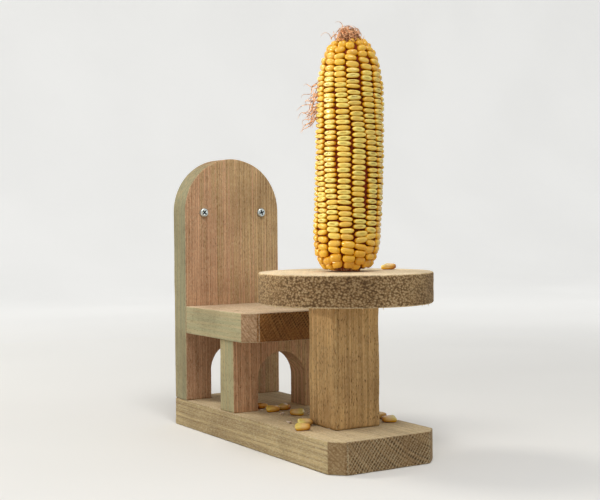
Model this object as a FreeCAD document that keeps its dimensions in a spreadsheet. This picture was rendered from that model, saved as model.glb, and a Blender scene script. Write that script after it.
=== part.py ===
"""Squirrel chair feeder: a cedar chair and table for a tree trunk, with an ear of corn on a spike.

Lengths are in millimetres. +X is to the right as seen from the front, +Y points back into the
trunk and +Z is up. The origin lies midway between the two trunk screws, on the back board's rear face.
"""
import FreeCAD
import Part
import Sketcher
import math
import os
from FreeCAD import Placement, Rotation, Vector

DIMENSIONS = {
    # Boards, all cut from one planed four-inch board
    "board_width": 89,
    "board_thickness": 22.2,
    "edge_ease": 0.7,
    "corner_cut": 10,
    "base_length": 244,
    "back_height": 200.5,
    "seat_depth": 104,
    "seat_height": 55.8,
    "support_gap": 56.8,
    "support_width": 86,
    "arch_width": 43,
    "arch_height": 45,
    # Table and its post
    "post_width": 38,
    "post_depth": 36,
    "post_height": 88.4,
    "post_reach": 189,
    "post_ease": 2.5,
    "table_diameter": 125,
    "table_reach": 192,
    "table_ease": 1.5,
    # Trunk screws, with pan heads, a slimmer shank in the board and a thread behind it
    "trunk_spacing": 54.6,
    "trunk_height": 155.4,
    "trunk_radius": 2.2,
    "trunk_shank_radius": 1.75,
    "trunk_length": 51,
    "trunk_head_radius": 3.7,
    "trunk_head_height": 2.2,
    "trunk_head_ease": 1.3,
    # Assembly screws, with flat heads
    "wood_radius": 1.8,
    "wood_length": 41,
    "wood_head_radius": 4,
    "post_screw_offset": 9,
    "seat_screw_offset": 25,
    "table_screw_offset": 12,
    # Seat nails
    "nail_radius": 0.9,
    "nail_length": 38,
    "nail_head_radius": 1.5,
    "nail_head_height": 1,
    # Corn spike, a long flat-head screw driven up through the table
    "spike_radius": 2.7,
    "spike_length": 80,
    "spike_head_radius": 5,
    # Drilling and driver recesses
    "hole_gap": 0.05,
    "head_sink": 0.4,
    "drill_spare": 1,
    "point_ratio": 3,
    "recess_reach": 0.6,
    "recess_width": 0.16,
    "recess_depth": 0.45,
    # Ear of corn
    "ear_radius": 24.6,
    "ear_length": 168,
    "ear_widest": 60,
    "ear_power": 6,
    "ear_fullness": 0.385,
    "ear_lean": 1.9,
    "core_radius": 13,
    "core_butt_share": 0.8,
    "core_tip_share": 0.5,
    "core_shoulder": 118,
    "core_bore_gap": 0.3,
    "row_count": 14,
    "row_turn": 9,
    "row_gap": 1.6,
    "row_low": 3.4,
    "row_high": 165.5,
    "tuft_radius": 7.5,
    "tuft_tip_radius": 5,
    "tuft_height": 8,
    # Loose kernels
    "kernel_length": 11.5,
    "kernel_width": 8.6,
    "kernel_tip_width": 4.4,
    "kernel_thickness": 4.6,
    "kernel_ease": 1.4,
}

# Loose kernels as (across, forward of the back, turn in degrees), lying on the base and on the table
BASE_KERNELS = [
    (-14, 92, 30),
    (-12, 112, 200),
    (1, 110, 120),
    (-6, 134, 215),
    (12, 142, 120),
    (-27, 174, 215),
    (-36, 190, 205),
    (36, 182, 120),
    (33, 198, 20),
]
TABLE_KERNELS = [
    (43, 186, 110),
]

doc = FreeCAD.newDocument("feeder")
dims = doc.addObject("Spreadsheet::Sheet", "dims")
for row, (alias, value) in enumerate(DIMENSIONS.items(), start=1):
    dims.set(f"A{row}", alias)
    dims.set(f"B{row}", str(value))
    dims.setAlias(f"B{row}", alias)
doc.recompute()

SIDES = (("left", "-1"), ("right", "1"))
TABLE_TOP = "dims.post_height + dims.board_thickness - dims.trunk_height"
LEG_OFFSET = "(dims.board_width + dims.arch_width) / 4"
MID_BOARD = "-dims.board_thickness / 2"
SUPPORT_MID = "-(1.5 * dims.board_thickness + dims.support_gap)"
PILOT_DEPTH = "dims.wood_length + dims.head_sink - dims.board_thickness + dims.drill_spare"
SPIKE_STAND = "dims.spike_length + dims.head_sink - dims.board_thickness"
WOOD_HOLE = "dims.wood_radius + dims.hole_gap"
COUNTERSINK = "2 * (dims.wood_head_radius + dims.head_sink + dims.hole_gap)"
EAR_FOOT = f"{TABLE_TOP} + dims.core_radius * dims.core_butt_share * sin(dims.ear_lean)"
RIGHT = Vector(0, 1, 0)
LEFT = Vector(0, -1, 0)


def new_body(label, turn=Rotation(), across="0", back="0", up="0"):
    """A body with its own label, placed in the feeder's frame by sheet expressions."""
    body = doc.addObject("PartDesign::Body", label)
    body.Label = label
    body.Placement = Placement(Vector(), turn)
    for axis, expression in zip("xyz", (across, back, up)):
        body.setExpression(f"Placement.Base.{axis}", expression)
    return body


def new_sketch(body, name, role, offset="0", lean=None):
    """A sketch on one of the body's origin planes, moved along that plane's normal, or leant to the left."""
    plane = next(item for item in body.Origin.OriginFeatures if item.Role == role)
    sketch = body.newObject("Sketcher::SketchObject", f"{body.Label}_{name}")
    sketch.AttachmentSupport = [(plane, "")]
    sketch.MapMode = "FlatFace"
    sketch.setExpression("AttachmentOffset.Base.z", offset)
    if lean:
        lean_by(sketch, "AttachmentOffset", LEFT, lean)
    doc.recompute()
    return sketch


def lean_by(item, holder, axis, angle):
    """Turn a placement of the item about a level axis by a sheet expression in degrees."""
    placement = getattr(item, holder)
    placement.Rotation = Rotation(axis, item.evalExpression(angle))
    setattr(item, holder, placement)
    item.setExpression(f"{holder}.Rotation.Angle", angle)


def pin(sketch, geometry, point, across, up):
    """Tie one sketch point to the sketch origin by two sheet expressions."""
    for kind, axis, expression in (("DistanceX", -2, across), ("DistanceY", -1, up)):
        if expression == "0":
            sketch.addConstraint(Sketcher.Constraint("PointOnObject", geometry, point, axis))
            continue
        value = sketch.evalExpression(expression)
        index = sketch.addConstraint(Sketcher.Constraint(kind, -1, 1, geometry, point, value))
        sketch.setExpression(f"Constraints[{index}]", expression)


def set_radius(sketch, geometry, expression):
    """Bind an arc's or a circle's radius to a sheet expression."""
    value = sketch.evalExpression(expression)
    index = sketch.addConstraint(Sketcher.Constraint("Radius", geometry, value))
    sketch.setExpression(f"Constraints[{index}]", expression)


def draw_polygon(sketch, corners):
    """A closed run of straight edges with every corner pinned."""
    points = [Vector(sketch.evalExpression(x), sketch.evalExpression(y), 0) for x, y in corners]
    ends = points[1:] + points[:1]
    for start, end in zip(points, ends):
        sketch.addGeometry(Part.LineSegment(start, end), False)
    count = len(points)
    for index in range(count):
        sketch.addConstraint(Sketcher.Constraint("Coincident", index, 2, (index + 1) % count, 1))
    for index, (x, y) in enumerate(corners):
        pin(sketch, index, 1, x, y)


def draw_rectangle(sketch, left, right, low, high):
    draw_polygon(sketch, [(left, low), (right, low), (right, high), (left, high)])


def draw_arch(sketch, width, height, foot):
    """An upright strip centred on the vertical axis, with a half-round top and a level foot."""
    half = sketch.evalExpression(f"({width}) / 2")
    spring = sketch.evalExpression(f"{height} - ({width}) / 2")
    low = sketch.evalExpression(foot)
    corners = [Vector(-half, spring), Vector(-half, low), Vector(half, low), Vector(half, spring)]
    for start, end in zip(corners[:-1], corners[1:]):
        sketch.addGeometry(Part.LineSegment(start, end), False)
    crown = Part.ArcOfCircle(Part.Circle(Vector(0, spring), Vector(0, 0, 1), half), 0, math.pi)
    sketch.addGeometry(crown, False)
    sketch.addConstraint(Sketcher.Constraint("Coincident", 0, 2, 1, 1))
    sketch.addConstraint(Sketcher.Constraint("Coincident", 1, 2, 2, 1))
    sketch.addConstraint(Sketcher.Constraint("Tangent", 2, 2, 3, 1))
    sketch.addConstraint(Sketcher.Constraint("Tangent", 3, 2, 0, 1))
    sketch.addConstraint(Sketcher.Constraint("Vertical", 0))
    sketch.addConstraint(Sketcher.Constraint("Horizontal", 1))
    sketch.addConstraint(Sketcher.Constraint("Vertical", 2))
    pin(sketch, 3, 3, "0", f"{height} - ({width}) / 2")
    set_radius(sketch, 3, f"({width}) / 2")
    foot_index = sketch.addConstraint(Sketcher.Constraint("DistanceY", 1, 1, -1, 1, -low))
    sketch.setExpression(f"Constraints[{foot_index}]", f"-({foot})")


def pad(body, name, sketch, length):
    feature = body.newObject("PartDesign::Pad", f"{body.Label}_{name}")
    feature.Profile = sketch
    feature.setExpression("Length", length)
    doc.recompute()
    return feature


def must_cut(body, volume_before):
    """Stop if a cut took nothing away from the body."""
    doc.recompute()
    if body.Shape.Volume > volume_before - 0.01:
        raise RuntimeError(f"a cut missed {body.Label}")


def pocket(body, name, sketch, length=None):
    """A pocket against the sketch's normal, or right through when no length is given."""
    before = body.Shape.Volume
    feature = body.newObject("PartDesign::Pocket", f"{body.Label}_{name}")
    feature.Profile = sketch
    if length is None:
        feature.Type = "ThroughAll"
        feature.Midplane = True
    else:
        feature.setExpression("Length", length)
    must_cut(body, before)


def revolve(body, name, sketch):
    feature = body.newObject("PartDesign::Revolution", f"{body.Label}_{name}")
    feature.Profile = sketch
    feature.ReferenceAxis = (sketch, ["V_Axis"])
    feature.Angle = 360
    doc.recompute()
    return feature


def dress(body, kind, name, amount, wanted):
    """Fillet or chamfer the edges of the body's present shape that pass a test."""
    base = body.Tip
    names = [f"Edge{number}" for number, edge in enumerate(base.Shape.Edges, start=1) if wanted(edge)]
    feature = body.newObject(f"PartDesign::{kind}", f"{body.Label}_{name}")
    feature.Base = (base, names)
    feature.setExpression("Radius" if kind == "Fillet" else "Size", amount)
    doc.recompute()


def every_edge(edge):
    return edge.Length > 0


def front_upright(edge):
    """An upright edge at the front end of a level board."""
    return upright(edge) and edge.BoundBox.YMax < -DIMENSIONS["seat_depth"] / 2


def upright(edge):
    box = edge.BoundBox
    return box.XLength + box.YLength < 0.01


def drill(body, name, role, centres, radius, offset="0", reverse=False, depth=None,
          sink=None, step=None, lean=None):
    """Round holes on a plane: plain, countersunk to a width, or stepped to a width and depth."""
    sketch = new_sketch(body, name, role, offset, lean)
    for index, (x, y) in enumerate(centres):
        spot = Vector(sketch.evalExpression(x), sketch.evalExpression(y), 0)
        sketch.addGeometry(Part.Circle(spot, Vector(0, 0, 1), sketch.evalExpression(radius)), False)
        pin(sketch, index, 3, x, y)
        set_radius(sketch, index, radius)
    doc.recompute()
    before = body.Shape.Volume
    feature = body.newObject("PartDesign::Hole", f"{body.Label}_{name}_hole")
    feature.Profile = sketch
    doc.recompute()
    feature.ThreadType = "None"
    feature.setExpression("Diameter", f"2 * ({radius})")
    feature.DrillPoint = "Flat"
    feature.Reversed = reverse
    if depth is None:
        feature.DepthType = "ThroughAll"
    else:
        feature.DepthType = "Dimension"
        feature.setExpression("Depth", depth)
    if sink or step:
        feature.HoleCutType = "Countersink" if sink else "Counterbore"
        feature.HoleCutCustomValues = True
        feature.setExpression("HoleCutDiameter", sink or step[0])
    if sink:
        feature.HoleCutCountersinkAngle = 90
    if step:
        feature.setExpression("HoleCutDepth", step[1])
    must_cut(body, before)


def both_sides(offset, along):
    """A left and a right spot at the same distance from the middle."""
    return [(f"-({offset})", along), (offset, along)]


def cross_recess(body, head_radius, top):
    """A cross-shaped driver recess in the middle of a screw head."""
    reach = f"{head_radius} * dims.recess_reach"
    half = f"{head_radius} * dims.recess_width"
    corners = [
        (half, half), (reach, half), (reach, f"-{half}"), (half, f"-{half}"),
        (half, f"-{reach}"), (f"-{half}", f"-{reach}"), (f"-{half}", f"-{half}"), (f"-{reach}", f"-{half}"),
        (f"-{reach}", half), (f"-{half}", half), (f"-{half}", reach), (half, reach),
    ]
    sketch = new_sketch(body, "recess", "XY_Plane", top)
    draw_polygon(sketch, corners)
    pocket(body, "recess_cut", sketch, f"{head_radius} * dims.recess_depth")


def turned_piece(body, corners):
    """Revolve a half outline, given from the top of the axis round to its lower end."""
    sketch = new_sketch(body, "outline", "XZ_Plane")
    draw_polygon(sketch, corners)
    revolve(body, "turned", sketch)


def flat_head_screw(label, kind, turn, across, back, up):
    """A flat-head screw hanging down from the middle of its head, with a pointed end."""
    radius = f"dims.{kind}_radius"
    length = f"dims.{kind}_length"
    head = f"dims.{kind}_head_radius"
    body = new_body(label, turn, across, back, up)
    outline = [
        ("0", "0"),
        (head, "0"),
        (radius, f"-({head} - {radius})"),
        (radius, f"-({length} - dims.point_ratio * {radius})"),
        ("0", f"-{length}"),
    ]
    turned_piece(body, outline)
    cross_recess(body, head, "0")
    return body


def pan_head_screw(label, turn, across):
    """A trunk screw with a domed head on the front of the back board."""
    body = new_body(label, turn, across, "-dims.board_thickness", "0")
    outline = [
        ("0", "dims.trunk_head_height"),
        ("dims.trunk_head_radius", "dims.trunk_head_height"),
        ("dims.trunk_head_radius", "0"),
        ("dims.trunk_shank_radius", "0"),
        ("dims.trunk_shank_radius", "-dims.board_thickness"),
        ("dims.trunk_radius", "-dims.board_thickness"),
        ("dims.trunk_radius", "-(dims.trunk_length - dims.point_ratio * dims.trunk_radius)"),
        ("0", "-dims.trunk_length"),
    ]
    turned_piece(body, outline)
    top = DIMENSIONS["trunk_head_height"]
    dress(body, "Fillet", "dome", "dims.trunk_head_ease", lambda edge: edge.BoundBox.ZMin > top - 0.01)
    cross_recess(body, "dims.trunk_head_radius", "dims.trunk_head_height")
    return body


def nail(label, across):
    """A small-headed nail, flush with the seat's top, down into the seat support."""
    top = "dims.seat_height + dims.board_thickness - dims.trunk_height"
    body = new_body(label, Rotation(), across, SUPPORT_MID, top)
    outline = [
        ("0", "0"),
        ("dims.nail_head_radius", "0"),
        ("dims.nail_head_radius", "-dims.nail_head_height"),
        ("dims.nail_radius", "-dims.nail_head_height"),
        ("dims.nail_radius", "-(dims.nail_length - dims.point_ratio * dims.nail_radius)"),
        ("0", "-dims.nail_length"),
    ]
    turned_piece(body, outline)
    return body


# Base board, with its two front corners cut off
base = new_body("base_board", up="-dims.trunk_height - dims.board_thickness")
outline = new_sketch(base, "outline", "XY_Plane")
draw_rectangle(outline, "-dims.board_width / 2", "dims.board_width / 2", "-dims.base_length", "0")
pad(base, "board", outline, "dims.board_thickness")
dress(base, "Chamfer", "corners", "dims.corner_cut", front_upright)
dress(base, "Fillet", "ease", "dims.edge_ease", every_edge)
base_screws = both_sides(LEG_OFFSET, MID_BOARD) + both_sides(LEG_OFFSET, SUPPORT_MID)
base_screws += both_sides("dims.post_screw_offset", "-dims.post_reach")
drill(base, "screws", "XY_Plane", base_screws, WOOD_HOLE, reverse=True, sink=COUNTERSINK)

# Back board, with a half-round top and an arched foot
back = new_body("back_board", up="-dims.trunk_height")
outline = new_sketch(back, "outline", "XZ_Plane")
draw_arch(outline, "dims.board_width", "dims.back_height", "0")
pad(back, "board", outline, "dims.board_thickness")
notch = new_sketch(back, "notch", "XZ_Plane")
draw_arch(notch, "dims.arch_width", "dims.arch_height", "-dims.drill_spare")
pocket(back, "arch", notch)
dress(back, "Fillet", "ease", "dims.edge_ease", every_edge)
drill(back, "foot", "XY_Plane", both_sides(LEG_OFFSET, MID_BOARD), WOOD_HOLE,
      reverse=True, depth=PILOT_DEPTH)
seat_middle = "dims.seat_height + dims.board_thickness / 2"
drill(back, "seat", "XZ_Plane", both_sides("dims.seat_screw_offset", seat_middle),
      WOOD_HOLE, reverse=True, sink=COUNTERSINK)
drill(back, "trunk", "XZ_Plane", both_sides("dims.trunk_spacing / 2", "dims.trunk_height"),
      "dims.trunk_radius + dims.hole_gap", reverse=True)

# Seat board, with its two front corners cut off
seat = new_body("seat_board", back="-dims.board_thickness", up="dims.seat_height - dims.trunk_height")
outline = new_sketch(seat, "outline", "XY_Plane")
draw_rectangle(outline, "-dims.board_width / 2", "dims.board_width / 2", "-dims.seat_depth", "0")
pad(seat, "board", outline, "dims.board_thickness")
dress(seat, "Chamfer", "corners", "dims.corner_cut", front_upright)
dress(seat, "Fillet", "ease", "dims.edge_ease", every_edge)
drill(seat, "rear", "XZ_Plane", both_sides("dims.seat_screw_offset", "dims.board_thickness / 2"),
      WOOD_HOLE, reverse=True, depth=PILOT_DEPTH)
drill(seat, "nails", "XY_Plane", both_sides(LEG_OFFSET, "-(dims.board_thickness / 2 + dims.support_gap)"),
      "dims.nail_radius + dims.hole_gap", offset="dims.board_thickness",
      step=("2 * (dims.nail_head_radius + dims.hole_gap)", "dims.nail_head_height"))

# Seat support, a short upright board with the same arched foot
support = new_body("seat_support", back="-(dims.board_thickness + dims.support_gap)", up="-dims.trunk_height")
outline = new_sketch(support, "outline", "XZ_Plane")
draw_rectangle(outline, "-dims.support_width / 2", "dims.support_width / 2", "0", "dims.seat_height")
pad(support, "board", outline, "dims.board_thickness")
notch = new_sketch(support, "notch", "XZ_Plane")
draw_arch(notch, "dims.arch_width", "dims.arch_height", "-dims.drill_spare")
pocket(support, "arch", notch)
dress(support, "Fillet", "ease", "dims.edge_ease", every_edge)
drill(support, "foot", "XY_Plane", both_sides(LEG_OFFSET, MID_BOARD), WOOD_HOLE,
      reverse=True, depth=PILOT_DEPTH)
drill(support, "nails", "XY_Plane", both_sides(LEG_OFFSET, MID_BOARD), "dims.nail_radius + dims.hole_gap",
      offset="dims.seat_height",
      depth="dims.nail_length - dims.board_thickness + dims.drill_spare")

# Table post
post = new_body("table_post", back="-dims.post_reach", up="-dims.trunk_height")
outline = new_sketch(post, "outline", "XY_Plane")
draw_rectangle(outline, "-dims.post_width / 2", "dims.post_width / 2",
               "-dims.post_depth / 2", "dims.post_depth / 2")
pad(post, "block", outline, "dims.post_height")
dress(post, "Fillet", "corners", "dims.post_ease", upright)
drill(post, "foot", "XY_Plane", both_sides("dims.post_screw_offset", "0"), WOOD_HOLE,
      reverse=True, depth=PILOT_DEPTH)
drill(post, "head", "XY_Plane", both_sides("dims.table_screw_offset", "0"), WOOD_HOLE,
      offset="dims.post_height", depth=PILOT_DEPTH)

# Round table top
table = new_body("table_top", back="-dims.table_reach", up="dims.post_height - dims.trunk_height")
outline = new_sketch(table, "outline", "XY_Plane")
outline.addGeometry(Part.Circle(Vector(), Vector(0, 0, 1), DIMENSIONS["table_diameter"] / 2), False)
pin(outline, 0, 3, "0", "0")
set_radius(outline, 0, "dims.table_diameter / 2")
pad(table, "disc", outline, "dims.board_thickness")
dress(table, "Fillet", "ease", "dims.table_ease", lambda edge: edge.Length > DIMENSIONS["table_diameter"])
post_middle = "dims.table_reach - dims.post_reach"
drill(table, "screws", "XY_Plane", both_sides("dims.table_screw_offset", post_middle), WOOD_HOLE,
      offset="dims.board_thickness", sink=COUNTERSINK)
drill(table, "spike", "XY_Plane", [("0", "0")], "dims.spike_radius + dims.hole_gap", reverse=True,
      sink="2 * (dims.spike_head_radius + dims.head_sink + dims.hole_gap)")

# Trunk screws, with the left and right driver recesses turned as they were left after driving
HEAD_FRONT = Rotation(Vector(1, 0, 0), 90)
RECESS_TURN = {"left": 45, "right": 20}
screws = []
for side, sign in SIDES:
    driven = HEAD_FRONT.multiply(Rotation(Vector(0, 0, 1), RECESS_TURN[side]))
    screws.append(pan_head_screw(f"trunk_screw_{side}", driven, f"{sign} * dims.trunk_spacing / 2"))

# Assembly screws, nails and the corn spike
HEAD_UP = Rotation()
HEAD_DOWN = Rotation(Vector(1, 0, 0), 180)
HEAD_REAR = Rotation(Vector(1, 0, 0), -90)
UNDERSIDE = "dims.head_sink - dims.board_thickness - dims.trunk_height"
SEAT_LEVEL = "dims.seat_height + dims.board_thickness / 2 - dims.trunk_height"
SCREW_SETS = [
    ("base_back_screw", HEAD_DOWN, LEG_OFFSET, MID_BOARD, UNDERSIDE),
    ("base_support_screw", HEAD_DOWN, LEG_OFFSET, SUPPORT_MID, UNDERSIDE),
    ("base_post_screw", HEAD_DOWN, "dims.post_screw_offset", "-dims.post_reach", UNDERSIDE),
    ("seat_back_screw", HEAD_REAR, "dims.seat_screw_offset", "-dims.head_sink", SEAT_LEVEL),
    ("table_screw", HEAD_UP, "dims.table_screw_offset", "-dims.post_reach", f"{TABLE_TOP} - dims.head_sink"),
]
for name, turn, offset, behind, height in SCREW_SETS:
    for side, sign in SIDES:
        screws.append(flat_head_screw(f"{name}_{side}", "wood", turn, f"{sign} * ({offset})", behind, height))
nails = [nail(f"seat_nail_{side}", f"{sign} * ({LEG_OFFSET})") for side, sign in SIDES]
spike = flat_head_screw("corn_spike", "spike", HEAD_DOWN, "0", "-dims.table_reach",
                        "dims.post_height + dims.head_sink - dims.trunk_height")

# Ear of corn: a pithy core that leans to the right, bored upright for the spike
core = new_body("cob_core", back="-dims.table_reach", up=EAR_FOOT)
lean_by(core, "Placement", RIGHT, "dims.ear_lean")
outline = new_sketch(core, "outline", "XZ_Plane")
draw_polygon(outline, [("0", "dims.ear_length"), ("0", "0"),
                       ("dims.core_radius * dims.core_butt_share", "0"),
                       ("dims.core_radius", "dims.core_radius"),
                       ("dims.core_radius", "dims.core_shoulder"),
                       ("dims.core_radius * dims.core_tip_share", "dims.ear_length")])
revolve(core, "turned", outline)
drill(core, "spike", "XY_Plane", [("0", "0")], "dims.spike_radius + dims.core_bore_gap", reverse=True,
      offset="-dims.drill_spare", depth=f"{SPIKE_STAND} + 2 * dims.drill_spare", lean="dims.ear_lean")


def ear_radius_at(height):
    """A full barrel as a superellipse of the share of the way from its widest level to an end."""
    widest = dims.ear_widest
    if height < widest:
        share = (widest - height) / widest
    else:
        share = (height - widest) / (dims.ear_length - widest)
    return dims.ear_radius * (1 - share ** dims.ear_power) ** dims.ear_fullness


def core_radius_at(height):
    """Radius of the core's outline, straight between its corners."""
    if height < dims.core_radius:
        share = 1 - height / dims.core_radius
        return dims.core_radius * (1 - share * (1 - dims.core_butt_share))
    share = max(0, (height - dims.core_shoulder) / (dims.ear_length - dims.core_shoulder))
    return dims.core_radius * (1 - share * (1 - dims.core_tip_share))


def kernel_row():
    """One upright row of kernels: a slice of the ear outside its core."""
    low = dims.row_low
    high = dims.row_high
    steps = 12
    shares = [(1 - math.cos(math.pi * step / steps)) / 2 for step in range(steps + 1)]
    heights = [low + (high - low) * share for share in shares]
    outer = Part.BSplineCurve()
    outer.interpolate([Vector(ear_radius_at(z), 0, z) for z in heights])
    inner = [Vector(core_radius_at(z) + dims.hole_gap, 0, z)
             for z in (high, dims.core_shoulder, dims.core_radius, low)]
    ends = [outer.value(outer.LastParameter)] + inner + [outer.value(outer.FirstParameter)]
    edges = [outer.toShape()]
    edges += [Part.makeLine(start, end) for start, end in zip(ends[:-1], ends[1:])]
    face = Part.Face(Part.Wire(edges))
    pitch = 360 / dims.row_count
    gap = math.degrees(dims.row_gap / dims.ear_radius)
    return face.revolve(Vector(), Vector(0, 0, 1), pitch - gap)


kernel_rows = doc.addObject("Part::Feature", "kernel_rows")
kernel_rows.Label = "kernel_rows"
row_solid = kernel_row()
copies = [row_solid.rotated(Vector(), Vector(0, 0, 1), dims.row_turn + number * 360 / dims.row_count)
          for number in range(int(dims.row_count))]
kernel_rows.Shape = Part.makeCompound(copies)
kernel_rows.Placement = core.Placement

# Dried silk at the ear's tip
tuft = new_body("silk_tuft", across="dims.ear_length * sin(dims.ear_lean)", back="-dims.table_reach",
                up=f"{EAR_FOOT} + dims.ear_length * cos(dims.ear_lean)")
lean_by(tuft, "Placement", RIGHT, "dims.ear_lean")
outline = new_sketch(tuft, "outline", "XZ_Plane")
draw_polygon(outline, [("0", "dims.tuft_height"), ("0", "0"), ("dims.tuft_radius", "0"),
                       ("dims.tuft_tip_radius", "dims.tuft_height")])
revolve(tuft, "turned", outline)


def loose_kernel():
    """A flat kernel lying on its broad side: a narrow tip that widens to a rounded cap."""
    half_cap = dims.kernel_width / 2
    half_tip = dims.kernel_tip_width / 2
    corners = [Vector(0, -half_tip, 0), Vector(dims.kernel_length, -half_cap, 0),
               Vector(dims.kernel_length, half_cap, 0), Vector(0, half_tip, 0)]
    face = Part.Face(Part.makePolygon(corners + corners[:1]))
    block = face.extrude(Vector(0, 0, dims.kernel_thickness))
    eased = block.makeFillet(dims.kernel_ease, block.Edges)
    eased.translate(Vector(-dims.kernel_length / 2, 0, 0))
    return eased


spilled = doc.addObject("Part::Feature", "spilled_kernels")
spilled.Label = "spilled_kernels"
kernel = loose_kernel()
base_level = -dims.trunk_height
table_level = base_level + dims.post_height + dims.board_thickness
resting = [(spot, base_level) for spot in BASE_KERNELS] + [(spot, table_level) for spot in TABLE_KERNELS]
lying = []
for (across, forward, turn), level in resting:
    one = kernel.copy()
    one.Placement = Placement(Vector(across, -forward, level), Rotation(Vector(0, 0, 1), turn))
    lying.append(one)
spilled.Shape = Part.makeCompound(lying)

doc.recompute()
pieces = [base, back, seat, support, post, table, *screws, *nails, spike, core, kernel_rows, tuft, spilled]
for item in doc.Objects:
    if "Invalid" in item.State or "Error" in item.State:
        raise RuntimeError(f"{item.Label} did not compute: {item.State}")
os.makedirs("parts", exist_ok=True)
for piece in pieces:
    if piece.Shape.isNull() or not piece.Shape.isValid() or not piece.Shape.Solids:
        raise RuntimeError(f"{piece.Label} has no valid solid")
    piece.Shape.exportStep(f"parts/{piece.Label}.step")
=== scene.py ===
"""Looks of the squirrel chair feeder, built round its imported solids. Lengths are in metres."""
import math

import bpy
import numpy as np
from bpy.props import FloatProperty, FloatVectorProperty, IntProperty, PointerProperty
from bpy.types import Operator, Panel, PropertyGroup
from mathutils import Matrix, Vector


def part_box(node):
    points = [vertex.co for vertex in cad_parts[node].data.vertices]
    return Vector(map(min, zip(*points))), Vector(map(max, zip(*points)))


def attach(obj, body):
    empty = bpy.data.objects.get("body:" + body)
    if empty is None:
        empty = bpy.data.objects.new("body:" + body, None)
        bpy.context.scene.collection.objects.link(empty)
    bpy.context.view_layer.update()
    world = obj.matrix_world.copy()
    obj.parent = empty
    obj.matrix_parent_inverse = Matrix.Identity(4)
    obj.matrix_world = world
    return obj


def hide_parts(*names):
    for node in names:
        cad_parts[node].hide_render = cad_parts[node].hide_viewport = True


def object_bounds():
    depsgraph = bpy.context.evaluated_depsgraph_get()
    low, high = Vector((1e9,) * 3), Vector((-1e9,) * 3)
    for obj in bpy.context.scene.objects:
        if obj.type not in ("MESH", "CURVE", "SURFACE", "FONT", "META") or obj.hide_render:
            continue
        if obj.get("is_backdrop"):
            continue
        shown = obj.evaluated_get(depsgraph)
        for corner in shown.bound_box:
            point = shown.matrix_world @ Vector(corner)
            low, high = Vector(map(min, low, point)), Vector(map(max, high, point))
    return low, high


bl_info = {
    "name": "Squirrel chair feeder",
    "version": (1, 0, 0),
    "blender": (4, 5, 0),
    "location": "3D View > Sidebar > Feeder",
    "description": "Dresses the solids of a cedar chair feeder with wood, steel and corn",
    "category": "Object",
}

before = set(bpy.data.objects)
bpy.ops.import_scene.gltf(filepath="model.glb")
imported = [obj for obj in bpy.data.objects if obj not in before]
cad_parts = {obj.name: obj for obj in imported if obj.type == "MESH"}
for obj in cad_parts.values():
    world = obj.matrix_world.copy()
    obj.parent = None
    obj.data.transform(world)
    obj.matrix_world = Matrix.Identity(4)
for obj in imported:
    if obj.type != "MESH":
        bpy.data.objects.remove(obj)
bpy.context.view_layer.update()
MM = 0.001

# Bodies that the pieces ride on
FIXED = "feeder"
EAR = "corn_ear"

# Sizes shared with the solids, where a head is given by its radius
CORNER_CUT = 10 * MM
ARCH_WIDTH = 43 * MM
ARCH_HEIGHT = 45 * MM
SCREW_HEAD = 4 * MM
HEAD_SINK = 0.4 * MM
NAIL_HEAD = 1.5 * MM
EAR_RADIUS = 24.6 * MM
EAR_LENGTH = 168 * MM
EAR_WIDEST = 60 * MM
EAR_POWER = 6
EAR_FULLNESS = 0.385
EAR_LEAN = math.radians(1.9)
EAR_BUTT = 10.4 * MM
EAR_FLAT = 2.5 * MM
BASE_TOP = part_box("base_board")[1].z
TABLE_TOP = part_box("table_top")[1].z
TABLE_MIDDLE = (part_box("table_top")[0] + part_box("table_top")[1]) / 2
EAR_FOOT = np.array([TABLE_MIDDLE.x, TABLE_MIDDLE.y, TABLE_TOP + EAR_BUTT * math.sin(EAR_LEAN)])

# Depth of the dimple over each nail head, which lies flush in the solids
NAIL_SINK = 0.15 * MM

# Directions of the frame
LEFT = (-1, 0, 0)
REAR = (0, 1, 0)
UP = (0, 0, 1)

# The photograph's view, the shift of its picture in widths, and its left-to-right direction on the ground
VIEW_YAW, VIEW_PITCH, VIEW_ROLL = (math.radians(angle) for angle in (31.58, -0.94, -0.51))
VIEW_SPOT = (-0.4437, -0.8477, -0.0124)
VIEW_SHIFT = (0.005, -0.0087)
VIEW_RIGHT = np.array([math.cos(VIEW_YAW), -math.sin(VIEW_YAW), 0])

# The stage: the point that the soft lamps face, each lamp's place, size and colour, the extent of the floor,
# and the strength at which the backdrop shows
LAMP_TARGET = (0, -0.12, -0.03)
KEY_LAMP = dict(spot=(-0.28, -0.7, 1.04), size=0.5, colour=(1, 0.98, 0.95))
RIM_LAMP = dict(spot=(-0.5, 0.52, 0.85), size=0.35, colour=(1, 0.95, 0.86))
KICKER_LAMP = dict(spot=(-0.72, 0.14, 0.12), target=(0, -0.192, 0.035), size=0.05, colour=(1, 0.97, 0.88))
KICKER_CONE = math.radians(17)
FLOOR_FRONT = -2.6
FLOOR_HALF_WIDTH = 4.5
WALL_HEIGHT = 3.2
BACKDROP_STRENGTH = 0.82


def paint(red, green, blue):
    """Screen colour values from 0 to 255 as the linear colour that shaders use."""
    screen = np.array([red, green, blue]) / 255
    linear = np.where(screen > 0.04045, ((screen + 0.055) / 1.055) ** 2.4, screen / 12.92)
    return tuple(float(value) for value in linear)


def rgba(colour, tint=(1, 1, 1)):
    """A colour with its channels multiplied by a tint, and full opacity."""
    return (*(value * share for value, share in zip(colour, tint)), 1.0)


# Settings that a user would change


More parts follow.
